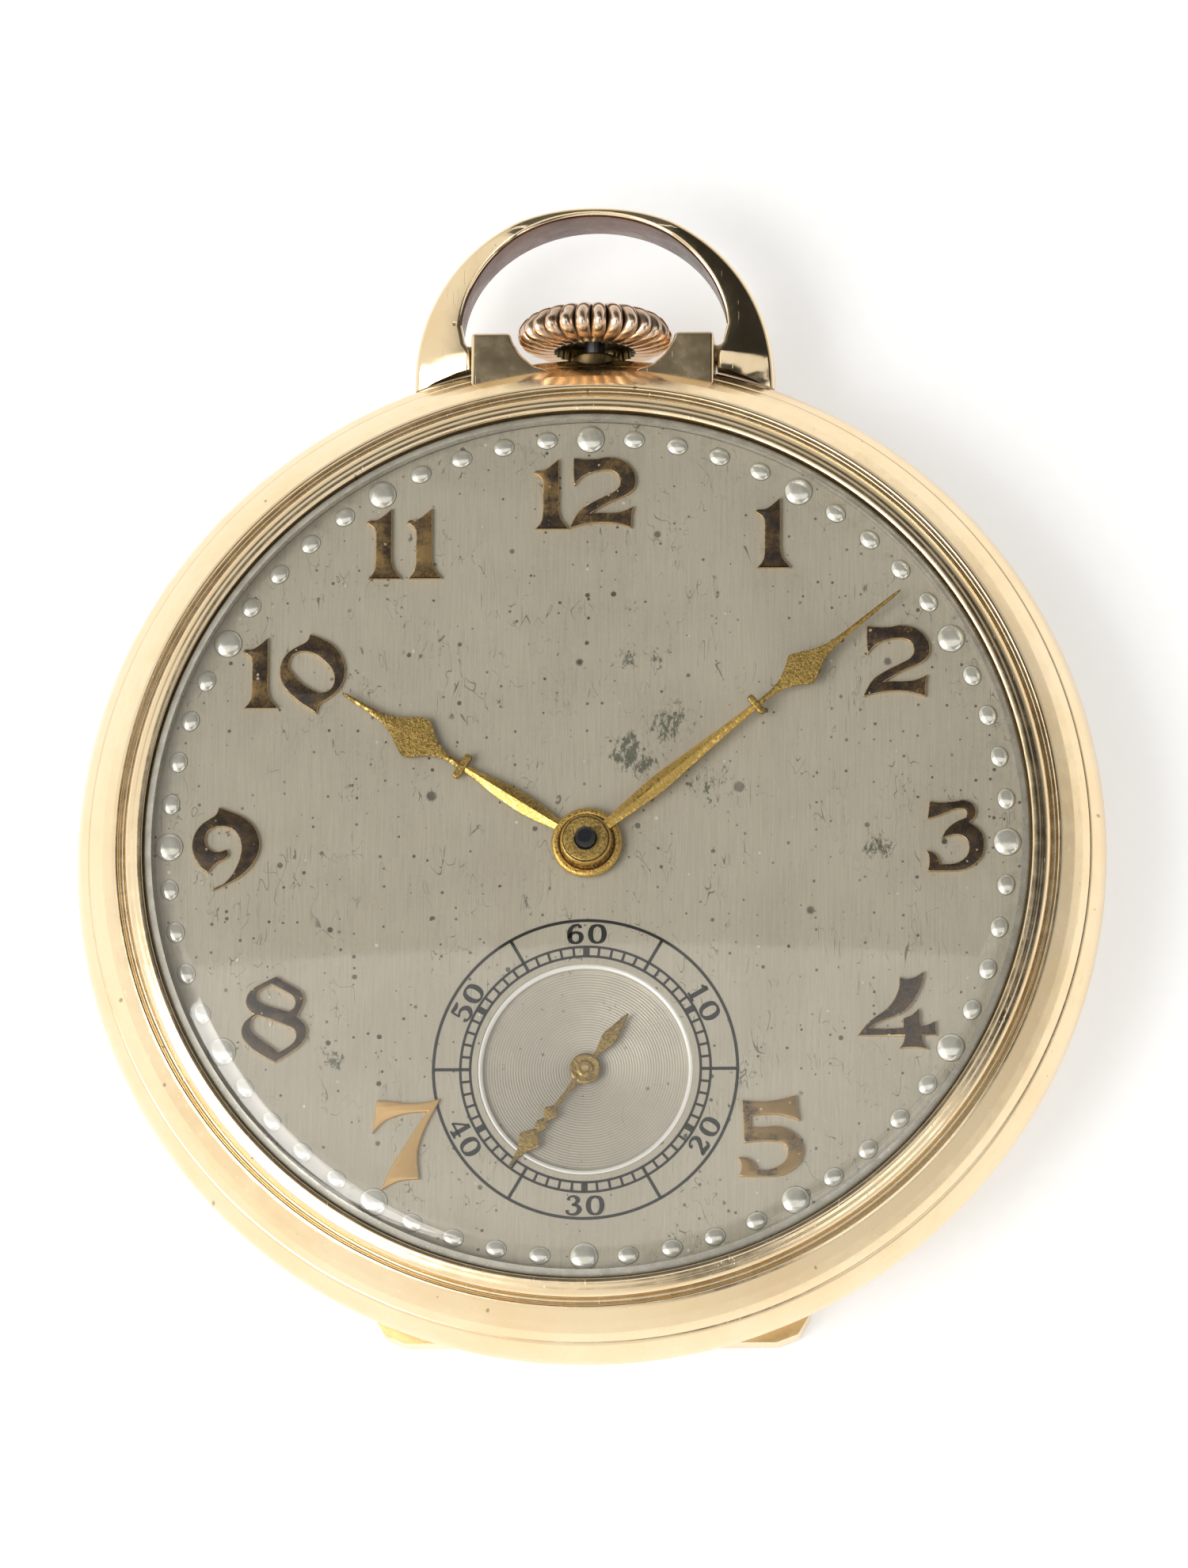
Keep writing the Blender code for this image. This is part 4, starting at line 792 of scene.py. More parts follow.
def make_back():
    """Turned back with its inside hollow, the strut's pressed pocket and two hinge lugs."""
    body = turned_mesh("back", [(0.0, 3.34)] + soften(BACK_SIDE, 0.3, closed=False) + [(0.0, 0.0)],
                       STEPS, sharp=50.0)
    inside = turned_mesh("inside", [(0.0, 4.0), (20.55, 4.0), (20.55, 3.0), (20.0, 2.15),
                                    (18.6, 1.2), (16.4, 0.75), (0.0, 0.7)], STEPS)
    clear, wall, below, depth, rim_depth = 0.25, 0.55, -1.0, 1.05, 1.65
    grown = relief_mesh("grown", [strut_outline(clear + wall)], below, depth + wall)
    grown_rim = block_mesh((-10.2, -25.0, below), (10.2, -18.6, rim_depth + wall))
    inside = carved("inside", inside, [grown, grown_rim])
    pocket = relief_mesh("pocket", [strut_outline(clear)], below, depth)
    rim = block_mesh((-9.65, -26.0, below), (9.65, -19.3, rim_depth))
    body = carved("back", body, [inside, pocket, rim], 0.07, 40.0)
    pieces = [body]
    for side in (-1, 1):
        middle = 3.1 * side
        lug = block_mesh((middle - 1.3, -4.95, 0.2), (middle + 1.3, -4.25, 1.3))
        hole = rod_mesh(0.2, -4.6, 4.6, (0.0, -4.6, 0.55), steps=24)
        pieces.append(carved("lug", lug, [hole], 0.06))
    add("back_cover", merged("back_cover", pieces), BACK_GOLD, "case", ["case_back"])


def make_glass():
    """Domed crystal: a clear shell with a bevelled shoulder ground duller than its dome."""
    edge, fall, rings, under = 18.42, 1.5, 24, GLASS_APEX - 0.3
    outer = [(edge * i / rings, GLASS_APEX - fall * (i / rings) ** 2)
             for i in range(1, rings + 1)]
    inner = [(edge * i / rings, under - fall * (i / rings) ** 2) for i in range(rings, 0, -1)]
    profile = [(0.0, GLASS_APEX)] + outer + [(18.60, 7.72), (18.74, 7.64), (18.74, 7.36)]
    clear = turned_mesh("dome", profile + inner + [(0.0, under)], STEPS, closed=False, sharp=40.0)
    shoulder = [(18.75, 7.63), (18.82, 7.59), (18.97, 7.50), (GLASS_RADIUS, 7.42),
                (GLASS_RADIUS, 7.04), (18.75, 7.04)]
    ring = turned_mesh("shoulder", shoulder, STEPS, sharp=50.0)
    mesh = merged("crystal_dome", [set_finish(clear, 0), set_finish(ring, 1)])
    add("crystal_dome", mesh, [GLASS, GLASS_EDGE], "case", ["crystal"])


# ---- pendant, bow and crown -----------------------------------------------------------------
def make_horns():
    outline = [(-5.27, 20.2), (-5.27, 23.05), (-3.6, 23.05), (-3.5, 22.7), (-3.15, 22.1),
               (-2.6, 21.6), (-1.9, 21.4), (-1.9, 20.2)]
    low, high = place("pendant_horn_left", 0, Z), place("pendant_horn_left", 1, Z)
    for name, side in (("left", 1), ("right", -1)):
        points = [(side * x, y) for x, y in outline]
        mesh = relief_mesh("horn", [soften(points, 0.16)], low, high, 0.14, segments=3)
        hole = rod_mesh(BOW_PIN_HOLE, *sorted((side * -7.0, side * -4.3)), BOW_PIVOT)
        mesh = carved("horn", mesh, [case_envelope(0.04), hole], sharp=34.0)
        add(f"horn_{name}", mesh, GOLD, "case", [f"pendant_horn_{name}"])


# the bow's opening is half an ellipse: height of its centre, half width, rise
EYE_CENTRE, EYE_HALF, EYE_RISE = 23.3, 5.8, 5.1


def bow_outline():
    """A stirrup: thin over the top and wide at its two ends."""
    outer_centre, outer_a, outer_b, power = 21.0, 7.85, 7.82, 2.15
    steps = 40
    half = [(-outer_a, 20.4)]
    for i in range(steps):
        t = math.pi / 2 * i / steps
        half.append((-outer_a * math.cos(t) ** (2 / power),
                     outer_centre + outer_b * math.sin(t) ** (2 / power)))
    inside = [(-5.37, 20.6), (-5.37, 22.45), (-5.42, 22.62), (-5.62, 22.9)]
    for i in range(2, steps):
        t = math.pi / 2 * i / steps
        inside.append((-EYE_HALF * math.cos(t), EYE_CENTRE + EYE_RISE * math.sin(t)))
    left = half + [(0.0, outer_centre + outer_b)]
    right = [(-x, y) for x, y in reversed(half)]
    back = [(-x, y) for x, y in inside]
    return left + right + back + [(0.0, EYE_CENTRE + EYE_RISE)] + inside[::-1]


def outside_opening(x, y):
    """How far a point of the bow lies outside its inner edge, in millimetres."""
    if y > EYE_CENTRE:
        return (math.hypot(x / EYE_HALF, (y - EYE_CENTRE) / EYE_RISE) - 1.0) * EYE_RISE
    return abs(x) - 5.4


def make_bow():
    """The bow: its limbs slope away to each side and its inside is worn to the copper."""
    mesh = relief_mesh("bow_loop", [bow_outline()], BOW_BACK, BOW_FRONT, 0.22, segments=5,
                       sharp=40.0)
    middle = (BOW_BACK + BOW_FRONT) / 2
    for vertex in mesh.vertices:
        spot = vertex.co / MM
        if spot.z > middle:
            drop = BOW_SLOPE * max(0.0, abs(spot.x) - BOW_FLAT)
            vertex.co.z -= (drop + HEEL_SLOPE * max(0.0, HEEL_TOP - spot.y)) * MM
    cutters = [tilted(case_envelope(0.1), -swing, BOW_PIVOT) for swing in BOW_STOPS]
    for side in (-1, 1):
        cutters.append(rod_mesh(BOW_PIN_HOLE, *sorted((side * 5.0, side * 6.35)), BOW_PIVOT))
    mesh = carved("bow_loop", mesh, cutters, 0.12, 40.0)
    for polygon in mesh.polygons:
        spot, normal = polygon.center / MM, polygon.normal
        inward = (abs(normal.z) < 0.75 and spot.y > COPPER_FOOT
                  and outside_opening(spot.x, spot.y) < COPPER_DEPTH)
        polygon.material_index = 1 if inward else 0
    add("bow_loop", mesh, [BOW_GOLD, BOW_COPPER], "bow", ["bow"])


def make_sleeve():
    profile = soften([(1.05, 22.36), (1.05, 19.2), (0.72, 19.2), (0.72, 22.36)], 0.08)
    mesh = turned_mesh("stem_sleeve", profile, 64, axis="Y", at=(0.0, 0.0, STEM_Z), sharp=45.0)
    add("stem_sleeve", mesh, SHADED_SLEEVE_BRASS, "case", ["pendant_sleeve"])


FLUTES, FLUTE_STEPS = 26, 12


def make_crown():
    """Pumpkin crown: rounded ribs between sharp grooves, worn flat where fingers grip it."""
    outer = [(2.0, CROWN_HIGH - 0.01), (2.45, CROWN_HIGH - 0.05), (2.9, CROWN_HIGH - 0.22),
             (3.18, CROWN_HIGH - 0.42), (3.33, CROWN_HIGH - 0.68),
             (CROWN_RADIUS, CROWN_HIGH - 0.95), (3.32, CROWN_LOW + 0.50), (3.14, CROWN_LOW + 0.30),
             (2.85, CROWN_LOW + 0.16), (2.4, CROWN_LOW + 0.05), (1.85, CROWN_LOW)]
    profile = [(0.0, CROWN_HIGH), (1.3, CROWN_HIGH - 0.002), (1.7, CROWN_HIGH - 0.005)]
    profile += [tuple(point) for point in spline(outer, 3)]
    profile += [(1.74, CROWN_LOW + 0.03), (1.70, CROWN_LOW + 0.6), (0.52, CROWN_LOW + 0.62),
                (0.52, CROWN_HIGH - 0.7), (0.0, CROWN_HIGH - 0.7)]
    draw = random.Random(4)
    worn = [draw.uniform(0.0, 0.10) for _ in range(FLUTES)]
    shoulder = CROWN_HIGH - 0.5

    def reach(angle, radius, height):
        if radius < 1.75 or height < CROWN_LOW - 0.1:
            return radius, height
        turn = angle * FLUTES / (2 * math.pi)
        swell = abs(math.sin(math.pi * turn))
        share = min(1.0, (radius - 1.75) / 0.25)
        depth = 0.42 * (1.0 - swell ** 0.7)
        flat = worn[int(turn) % FLUTES] * swell * math.exp(-((height - shoulder) / 0.22) ** 2)
        return radius - share * (depth + flat), height - 0.5 * share * flat

    mesh = turned_mesh("winding_crown", profile, FLUTES * FLUTE_STEPS, closed=False, axis="Y",
                       at=(0.0, 0.0, STEM_Z), sharp=70.0, reach=reach)
    # Painted shade: the faces of the socket under the crown get the dark sleeve material.
    for polygon in mesh.polygons:
        spot = polygon.center / MM
        hollow = math.hypot(spot.x, spot.z - STEM_Z) < 1.78 and spot.y < CROWN_LOW + 0.7
        polygon.material_index = 1 if hollow else 0
    add("winding_crown", mesh, [ROSE_GOLD, SHADED_SLEEVE_BRASS], "crown", ["crown"])


# ---- dial -----------------------------------------------------------------------------------
BEAD_ORBIT = 18.1
RECESS_RADIUS = 4.62


def make_dial():
    plate = relief_mesh("dial_plate", [circle(DIAL_RADIUS, 240), circle(1.05, 48),
                                       circle(RECESS_RADIUS, 120, SECONDS_AXIS.xy)],
                        DIAL_Z - 0.4, DIAL_Z, 0.02, segments=1)
    for polygon in plate.polygons:
        polygon.use_smooth = abs(polygon.normal.z) < 0.9
    add("dial_plate", plate, DIAL, "case", ["dial"])
    floor = DIAL_Z - SECONDS_DEPTH
    profile = [(RECESS_RADIUS - 0.01, DIAL_Z - 0.38), (RECESS_RADIUS - 0.01, DIAL_Z - 0.005),
               (4.50, DIAL_Z - 0.01), (4.42, DIAL_Z - 0.05), (4.37, floor + 0.05),
               (4.32, floor), (0.4, floor), (0.4, DIAL_Z - 0.38)]
    disc = turned_mesh("seconds_dial", soften(profile, 0.03, 2), 160,
                       at=(SECONDS_AXIS.x, SECONDS_AXIS.y, 0.0), sharp=40.0)
    add("seconds_dial", disc, SECONDS_DISC, "case")


def make_beads():
    """Sixty embossed beads round the dial, every fifth one larger."""
    beads = []
    rows, steps = 7, 28
    for minute in range(60):
        large = minute % 5 == 0
        radial, across, rise = (0.62, 0.62, 0.20) if large else (0.40, 0.47, 0.16)
        orbit = BEAD_ORBIT - (0.05 if large else 0.0)
        centre = Vector((*polar(orbit, 6.0 * minute), DIAL_Z))
        turn = Matrix.Rotation(-math.radians(6.0 * minute), 3, "Z")
        vertices, faces = [], []
        for k in range(rows + 1):
            tilt = math.pi / 2 * k / rows
            share, lift = math.cos(tilt), math.sin(tilt)
            for i in range(steps):
                a = 2 * math.pi * i / steps
                spot = Vector((across * share * math.sin(a), radial * share * math.cos(a),
                               rise * lift - 0.01))
                vertices.append(centre + turn @ spot)
        for k in range(rows):
            for i in range(steps):
                j = (i + 1) % steps
                faces.append((k * steps + i, k * steps + j, (k + 1) * steps + j,
                              (k + 1) * steps + i))
        faces.append(tuple(range(steps)))
        beads.append(mesh_from("bead", vertices, faces, 60.0))
    add("minute_beads", merged("minute_beads", beads), BEAD, "case")


# Outlines of the raised numerals in millimetres: each list inside an outline starts at a corner.
GLYPHS = {
    "1": [[[(0.33, 1.63), (0.34, 1.2), (0.35, 0.3), (0.35, -0.6), (0.45, -1.05), (0.62, -1.3)],
         [(0.8, -1.52)], [(-0.68, -1.52), (-0.46, -1.25), (-0.36, -0.9), (-0.35, 0.0),
         (-0.35, 0.5), (-0.43, 0.72), (-0.56, 0.85)], [(-0.76, 0.98), (-0.66, 1.1), (-0.35, 1.12),
         (-0.08, 1.27)]]],
    "2": [[[(-1.35, 1.58), (-0.8, 1.53), (-0.3, 1.54), (0.1, 1.61), (0.6, 1.54), (1.05, 1.27),
         (1.32, 0.88), (1.38, 0.5), (1.28, 0.15), (0.95, -0.12), (0.4, -0.36), (-0.1, -0.62)],
         [(-0.55, -0.9), (-0.1, -0.88), (0.4, -0.88), (0.85, -0.8)], [(1.28, -0.6), (1.2, -1.1)],
         [(1.2, -1.58), (0.7, -1.43), (0.2, -1.34), (-0.4, -1.35), (-0.95, -1.43)], [(-1.5, -1.58),
         (-1.3, -1.15), (-1.02, -0.75), (-0.5, -0.4), (0.1, -0.1), (0.5, 0.12), (0.68, 0.4),
         (0.62, 0.72), (0.4, 0.94), (0.0, 1.0), (-0.5, 0.92), (-0.95, 0.72)], [(-1.3, 0.33),
         (-1.35, 0.95)]]],
    "3": [[[(-1.12, 1.55), (-0.6, 1.5), (0.0, 1.55), (0.4, 1.6), (0.75, 1.42), (0.88, 1.1),
         (0.82, 0.8)], [(0.62, 0.6), (0.95, 0.38), (1.17, 0.08), (1.25, -0.3), (1.2, -0.75),
         (1.0, -1.1), (0.6, -1.4), (0.1, -1.54), (-0.4, -1.55)], [(-1.2, -1.55), (-1.13, -1.2),
         (-1.15, -0.9)], [(-1.25, -0.62), (-1.0, -0.68), (-0.78, -0.88)], [(-0.65, -1.22),
         (-0.3, -1.22), (0.1, -1.15), (0.45, -0.9), (0.58, -0.55), (0.5, -0.2), (0.25, 0.02),
         (-0.1, 0.05)], [(-0.6, -0.1), (-0.45, 0.22), (-0.2, 0.48), (0.1, 0.68), (0.38, 0.8),
         (0.48, 0.98), (0.38, 1.15), (0.12, 1.2), (-0.15, 1.13), (-0.5, 0.98), (-0.85, 0.85)],
         [(-1.22, 0.75), (-1.16, 1.15)]]],
    "4": [[[(0.0, 1.6), (0.35, 1.52), (0.7, 1.62)], [(1.07, 1.85), (1.03, 1.45), (0.88, 1.0),
         (0.6, 0.5), (0.3, 0.12), (-0.05, -0.08), (-0.5, -0.25), (-0.95, -0.45)], [(-1.22, -0.64),
         (-0.6, -0.66)], [(0.17, -0.62)], [(0.17, -0.22), (0.5, -0.08), (0.7, 0.08)],
         [(0.83, 0.22), (0.9, -0.05), (0.9, -0.35)], [(0.98, -0.55), (1.25, -0.48)],
         [(1.55, -0.33), (1.58, -0.65)], [(1.6, -0.98)], [(1.0, -0.98), (1.04, -1.25)],
         [(1.25, -1.58), (0.6, -1.5)], [(0.0, -1.54), (0.17, -1.28)], [(0.23, -0.98)],
         [(-1.78, -0.98), (-1.58, -0.7), (-1.3, -0.36), (-0.9, -0.05), (-0.5, 0.25), (-0.18, 0.7),
         (-0.02, 1.15)]]],
    "5": [[[(-1.35, 1.7), (-0.8, 1.63), (-0.2, 1.64), (0.4, 1.75)], [(0.98, 1.9), (1.03, 1.35)],
         [(1.12, 0.78), (0.75, 0.9), (0.3, 1.02), (-0.3, 1.05)], [(-0.98, 0.98)], [(-0.98, 0.52),
         (-0.5, 0.5), (0.0, 0.55), (0.5, 0.47), (0.95, 0.2), (1.22, -0.2), (1.28, -0.6),
         (1.15, -1.05), (0.8, -1.4), (0.3, -1.62), (-0.4, -1.66)], [(-1.45, -1.65),
         (-1.38, -1.25)], [(-1.5, -0.8), (-1.15, -0.82), (-0.85, -1.0)], [(-0.68, -1.32),
         (-0.3, -1.35), (0.1, -1.25), (0.45, -1.02), (0.6, -0.72), (0.6, -0.45), (0.4, -0.22),
         (0.0, -0.12), (-0.6, -0.12)], [(-1.25, -0.18), (-1.28, 0.6)]]],
    "7": [[[(-1.38, 1.95), (-0.7, 1.9), (0.0, 1.82), (0.7, 1.87)], [(1.35, 2.02), (1.12, 1.55),
         (0.9, 1.15), (0.65, 0.6), (0.47, 0.05), (0.4, -0.4), (0.42, -0.9)], [(0.48, -1.5),
         (0.0, -1.52), (-0.5, -1.62)], [(-1.12, -1.95), (-0.92, -1.4), (-0.68, -0.9),
         (-0.38, -0.38), (0.1, 0.38), (0.5, 1.0)], [(0.8, 1.45), (0.3, 1.42), (-0.2, 1.35),
         (-0.7, 1.2), (-1.15, 0.95)], [(-1.55, 0.5), (-1.45, 1.2)]]],
    "8": [[[(0.05, 1.92), (0.45, 1.68), (0.9, 1.42), (1.17, 1.2), (1.26, 0.9), (1.2, 0.6)],
         [(0.98, 0.12), (1.22, -0.08), (1.4, -0.4), (1.36, -0.78), (1.15, -1.12), (0.7, -1.48)],
         [(0.05, -1.88), (-0.5, -1.6), (-1.0, -1.25), (-1.32, -0.9), (-1.43, -0.5), (-1.32, -0.12),
         (-1.08, 0.12)], [(-0.92, 0.25), (-1.12, 0.42), (-1.24, 0.7), (-1.22, 1.02), (-1.0, 1.35),
         (-0.5, 1.65)]], [[(-0.15, 1.55), (0.3, 1.3), (0.72, 1.05), (0.87, 0.78), (0.8, 0.52)],
         [(0.6, 0.38), (0.2, 0.5), (-0.3, 0.65), (-0.68, 0.85), (-0.76, 1.08), (-0.6, 1.3)]],
         [[(-0.75, 0.2), (-0.3, 0.05), (0.2, -0.15), (0.6, -0.3), (0.85, -0.48), (0.92, -0.78),
         (0.72, -1.08)], [(0.2, -1.42), (-0.02, -1.22), (-0.4, -0.95), (-0.85, -0.6),
         (-1.0, -0.35), (-0.97, 0.0)]]],
    "9": [[[(-0.38, 1.88), (0.1, 1.7), (0.62, 1.48), (1.05, 1.15), (1.32, 0.7), (1.42, 0.2),
         (1.32, -0.3), (1.02, -0.8), (0.6, -1.2), (0.1, -1.5)], [(-0.65, -1.82), (-0.2, -1.55),
         (0.1, -1.28), (0.35, -0.9), (0.55, -0.4), (0.62, 0.08), (0.52, 0.5), (0.25, 0.85),
         (-0.12, 1.0), (-0.52, 0.98), (-0.82, 0.8), (-0.95, 0.5), (-0.9, 0.22), (-0.7, 0.0),
         (-0.4, -0.1)], [(0.0, 0.02), (0.08, -0.22), (-0.05, -0.42)], [(-0.3, -0.52),
         (-0.55, -0.72)], [(-0.8, -1.05), (-1.12, -0.8), (-1.4, -0.35), (-1.52, 0.12),
         (-1.42, 0.68), (-1.12, 1.12), (-0.75, 1.38), (-0.5, 1.56)]]],
    "0": [[[(-0.1, 1.77), (0.3, 1.62), (0.8, 1.35), (1.18, 0.95), (1.4, 0.4), (1.42, -0.1),
         (1.3, -0.5), (1.0, -0.9), (0.6, -1.2), (0.35, -1.38)], [(0.2, -1.78), (-0.2, -1.5),
         (-0.6, -1.22), (-1.0, -0.85), (-1.3, -0.4), (-1.4, 0.1), (-1.3, 0.6), (-1.0, 1.0),
         (-0.6, 1.25), (-0.25, 1.45)]], [[(-0.98, 0.6), (-0.8, 0.83), (-0.45, 0.98), (0.0, 0.9),
         (0.4, 0.65), (0.75, 0.3), (0.95, -0.1), (0.92, -0.5), (0.7, -0.75), (0.35, -0.83),
         (-0.05, -0.66), (-0.5, -0.35), (-0.8, 0.0), (-1.0, 0.27)]]],
}
# numeral: centre on the dial, glyphs with their offsets, how much gold shows
NUMERALS = {
    "12": ((-0.15, 15.52), (("1", -1.54, 0.0), ("2", 0.77, 0.08)), 0.56),
    "1": ((7.99, 13.71), (("1", -0.07, 0.0),), 0.30),
    "2": ((13.34, 7.99), (("2", 0.0, 0.0),), 0.34),
    "3": ((15.83, 0.23), (("3", 0.0, 0.0),), 0.05),
    "4": ((13.43, -7.54), (("4", 0.0, 0.0),), 0.22),
    "5": ((8.07, -12.98), (("5", 0.0, 0.0),), 0.75),
    "7": ((-7.55, -13.18), (("7", 0.0, 0.0),), 1.25),
    "8": ((-13.37, -7.67), (("8", 0.0, 0.0),), 0.05),
    "9": ((-15.53, -0.15), (("9", 0.0, 0.0),), 0.05),
    "10": ((-12.76, 7.63), (("1", -1.45, 0.0), ("0", 0.8, 0.0)), 0.36),
    "11": ((-8.0, 13.35), (("1", -0.92, 0.0), ("1", 0.83, 0.0)), 0.62),
}
NUMERAL_RISE = 0.2


def make_numerals():
    for seed, (numeral, (centre, glyphs, gold_share)) in enumerate(NUMERALS.items()):
        meshes = []
        for glyph, right, up in glyphs:
            outlines = [closed_runs(runs) for runs in GLYPHS[glyph]]
            meshes.append(relief_mesh("glyph", outlines, DIAL_Z - 0.02, DIAL_Z + NUMERAL_RISE,
                                      0.055, (centre[0] + right, centre[1] + up), 2))
        finish = lacquered(f"numeral_{numeral}_lacquer", gold_share, seed)
        add(f"numeral_{numeral}", merged("numeral", meshes), finish, "case")


PEN_SPREAD = 0.02


def stroke(points, closed):
    """The outline of a pen stroke through (x, y, width) points."""
    path = spline([Vector(p) for p in (points + points[:1] if closed else points)], 6)
    if closed:
        path = path[:-1]
    left, right = [], []
    count = len(path)
    for i, spot in enumerate(path):
        after = path[(i + 1) % count] if closed else path[min(i + 1, count - 1)]
        before = path[i - 1] if closed else path[max(i - 1, 0)]
        along = (after - before).xy.normalized()
        side = Vector((-along.y, along.x)) * (spot.z / 2 + PEN_SPREAD)
        left.append(spot.xy + side)
        right.append(spot.xy - side)
    return [left, right] if closed else [left + right[::-1]]


# Strokes of the small printed figures, in units of their height.
PRINT = {
    "0": [("ring", [(0.0, 0.45, 0.07), (0.25, 0.33, 0.17), (0.34, 0.0, 0.22), (0.25, -0.33, 0.17),
                    (0.0, -0.45, 0.07), (-0.25, -0.33, 0.17), (-0.34, 0.0, 0.22),
                    (-0.25, 0.33, 0.17)])],
    "1": [("line", [(0.0, 0.5, 0.2), (0.0, -0.5, 0.2)]),
          ("line", [(-0.26, -0.47, 0.07), (0.26, -0.47, 0.07)]),
          ("line", [(-0.26, 0.3, 0.07), (-0.1, 0.36, 0.12), (0.02, 0.46, 0.14)])],
    "2": [("line", [(-0.22, 0.22, 0.16), (-0.26, 0.34, 0.1), (-0.05, 0.46, 0.08),
                    (0.2, 0.38, 0.16), (0.24, 0.16, 0.2), (0.0, -0.12, 0.14),
                    (-0.33, -0.42, 0.08)]),
          ("line", [(-0.34, -0.42, 0.1), (-0.05, -0.38, 0.18), (0.22, -0.42, 0.14),
                    (0.36, -0.22, 0.05)])],
    "3": [("line", [(-0.26, 0.26, 0.16), (-0.2, 0.41, 0.08), (0.02, 0.46, 0.08),
                    (0.22, 0.30, 0.2), (0.12, 0.1, 0.12), (-0.08, 0.03, 0.06)]),
          ("line", [(-0.08, 0.03, 0.06), (0.18, -0.02, 0.12), (0.3, -0.2, 0.22),
                    (0.16, -0.41, 0.14), (-0.08, -0.46, 0.07), (-0.28, -0.38, 0.1),
                    (-0.31, -0.24, 0.16)])],
    "4": [("line", [(0.1, 0.48, 0.07), (-0.38, -0.19, 0.07)]),
          ("line", [(-0.42, -0.2, 0.07), (0.4, -0.2, 0.07)]),
          ("line", [(0.13, 0.5, 0.18), (0.13, -0.48, 0.2)]),
          ("line", [(-0.1, -0.47, 0.07), (0.34, -0.47, 0.07)])],
    "5": [("line", [(-0.26, 0.44, 0.13), (0.05, 0.41, 0.16), (0.3, 0.48, 0.06)]),
          ("line", [(-0.27, 0.48, 0.06), (-0.28, 0.0, 0.06)]),
          ("line", [(-0.28, 0.02, 0.06), (-0.05, 0.12, 0.09), (0.2, 0.04, 0.17),
                    (0.3, -0.18, 0.22), (0.16, -0.41, 0.14), (-0.08, -0.46, 0.07),
                    (-0.28, -0.38, 0.1), (-0.31, -0.26, 0.16)])],
    "6": [("ring", [(0.0, 0.09, 0.08), (0.22, 0.0, 0.16), (0.28, -0.18, 0.2),
                    (0.2, -0.38, 0.14), (0.0, -0.46, 0.08), (-0.22, -0.38, 0.16),
                    (-0.3, -0.18, 0.2), (-0.22, 0.0, 0.14)]),
          ("line", [(-0.30, -0.2, 0.2), (-0.3, 0.1, 0.2), (-0.18, 0.35, 0.14),
                    (0.04, 0.46, 0.08), (0.2, 0.40, 0.12), (0.22, 0.3, 0.16)])],
}
PRINT_RISE = 0.012
PRINT_HEIGHT, FIGURE_PITCH = 0.86, 0.93
TICK_FOOT, TICK_TOP, DIVIDER_TOP = 4.95, 5.35, 6.5
# figure, its angle and radius on the seconds track, how far it is turned
FIGURES = (("60", 0.0, 5.93, 0.0), ("10", 60.0, 5.86, 60.0), ("20", 120.0, 5.9, -60.0),
           ("30", 180.0, 5.95, 0.0), ("40", 240.0, 5.92, 60.0), ("50", 300.0, 5.86, -60.0))


def make_seconds_print():
    """Rings, ticks, dividers and figures of the seconds track."""
    low, high = DIAL_Z - 0.004, DIAL_Z + PRINT_RISE
    at = tuple(SECONDS_AXIS.xy)
    meshes = []
    for outer, inner in ((6.585, 6.455), (5.42, 5.31), (5.0, 4.89)):
        meshes.append(relief_mesh("ring", [circle(outer, 180), circle(inner, 180)], low, high,
                                  at=at))
    for second in range(60):
        half, top = {0: (0.14, TICK_TOP), 5: (0.07, DIVIDER_TOP)}.get(second % 10,
                                                                      (0.055, TICK_TOP))
        bar = [(-half, TICK_FOOT), (half, TICK_FOOT), (half, top), (-half, top)]
        outline = [turned_point(point, 6.0 * second) for point in bar]
        meshes.append(relief_mesh("tick", [outline], low, high, at=at))
    for figures, where, radius, turn in FIGURES:
        spot = Vector(polar(radius, where))
        for index, figure in enumerate(figures):
            offset = (index - 0.5) * FIGURE_PITCH
            for kind, points in PRINT[figure]:
                outlines = stroke(points, kind == "ring")
                outlines = [[turned_point(p * PRINT_HEIGHT + Vector((offset, 0.0)), turn) + spot
                             for p in outline] for outline in outlines]
                meshes.append(relief_mesh("figure", outlines, low, high, at=at))
    add("seconds_print", merged("seconds_print", meshes), INK, "case")


# ---- hands ----------------------------------------------------------------------------------
def blade_mesh(stations, low, high, clockwise, centre=(0.0, 0.0)):
    """A hand from (distance, half width, ridge height) stations; a ridge makes a roof."""
    rounds = spline(stations)
    vertices, faces = [], []
    turn = Matrix.Rotation(-math.radians(clockwise), 3, "Z")
    at = Vector((centre[0], centre[1], 0.0))
    thick = high - low
    for along, half, ridge in rounds:
        half = max(half, 0.02)
        shoulder = low + thick * (1.0 - 0.55 * ridge)
        slope = (half * 0.86, shoulder + thick * 0.12 * ridge + thick * 0.02)
        section = [(-half, low), (-half, shoulder), (-slope[0], slope[1]), (0.0, high), slope,
                   (half, shoulder), (half, low)]
        for across, z in section:
            vertices.append(turn @ Vector((across, along, min(z, high))) + at)
    wide = 7
    for i in range(len(rounds) - 1):
        for k in range(wide):
            m = (k + 1) % wide
            faces.append((i * wide + k, i * wide + m, (i + 1) * wide + m, (i + 1) * wide + k))
    faces.append(tuple(range(wide)))
    last = (len(rounds) - 1) * wide
    faces.append(tuple(range(last + wide - 1, last - 1, -1)))
    return mesh_from("blade", vertices, faces, 20.0)


def bar_mesh(half_length, half_width, at_distance, low, high, clockwise):
    """The small rounded cross bar of a hand."""
    near, far = at_distance - half_width, at_distance + half_width
    outline = soften([(-half_length, near), (half_length, near), (half_length, far),
                      (-half_length, far)], 0.14)
    points = [turned_point(p, clockwise) for p in outline]
    return relief_mesh("bar", [points], low, high, 0.05, segments=2)


def set_finish(mesh, index):
    for polygon in mesh.polygons:
        polygon.material_index = index
    return mesh


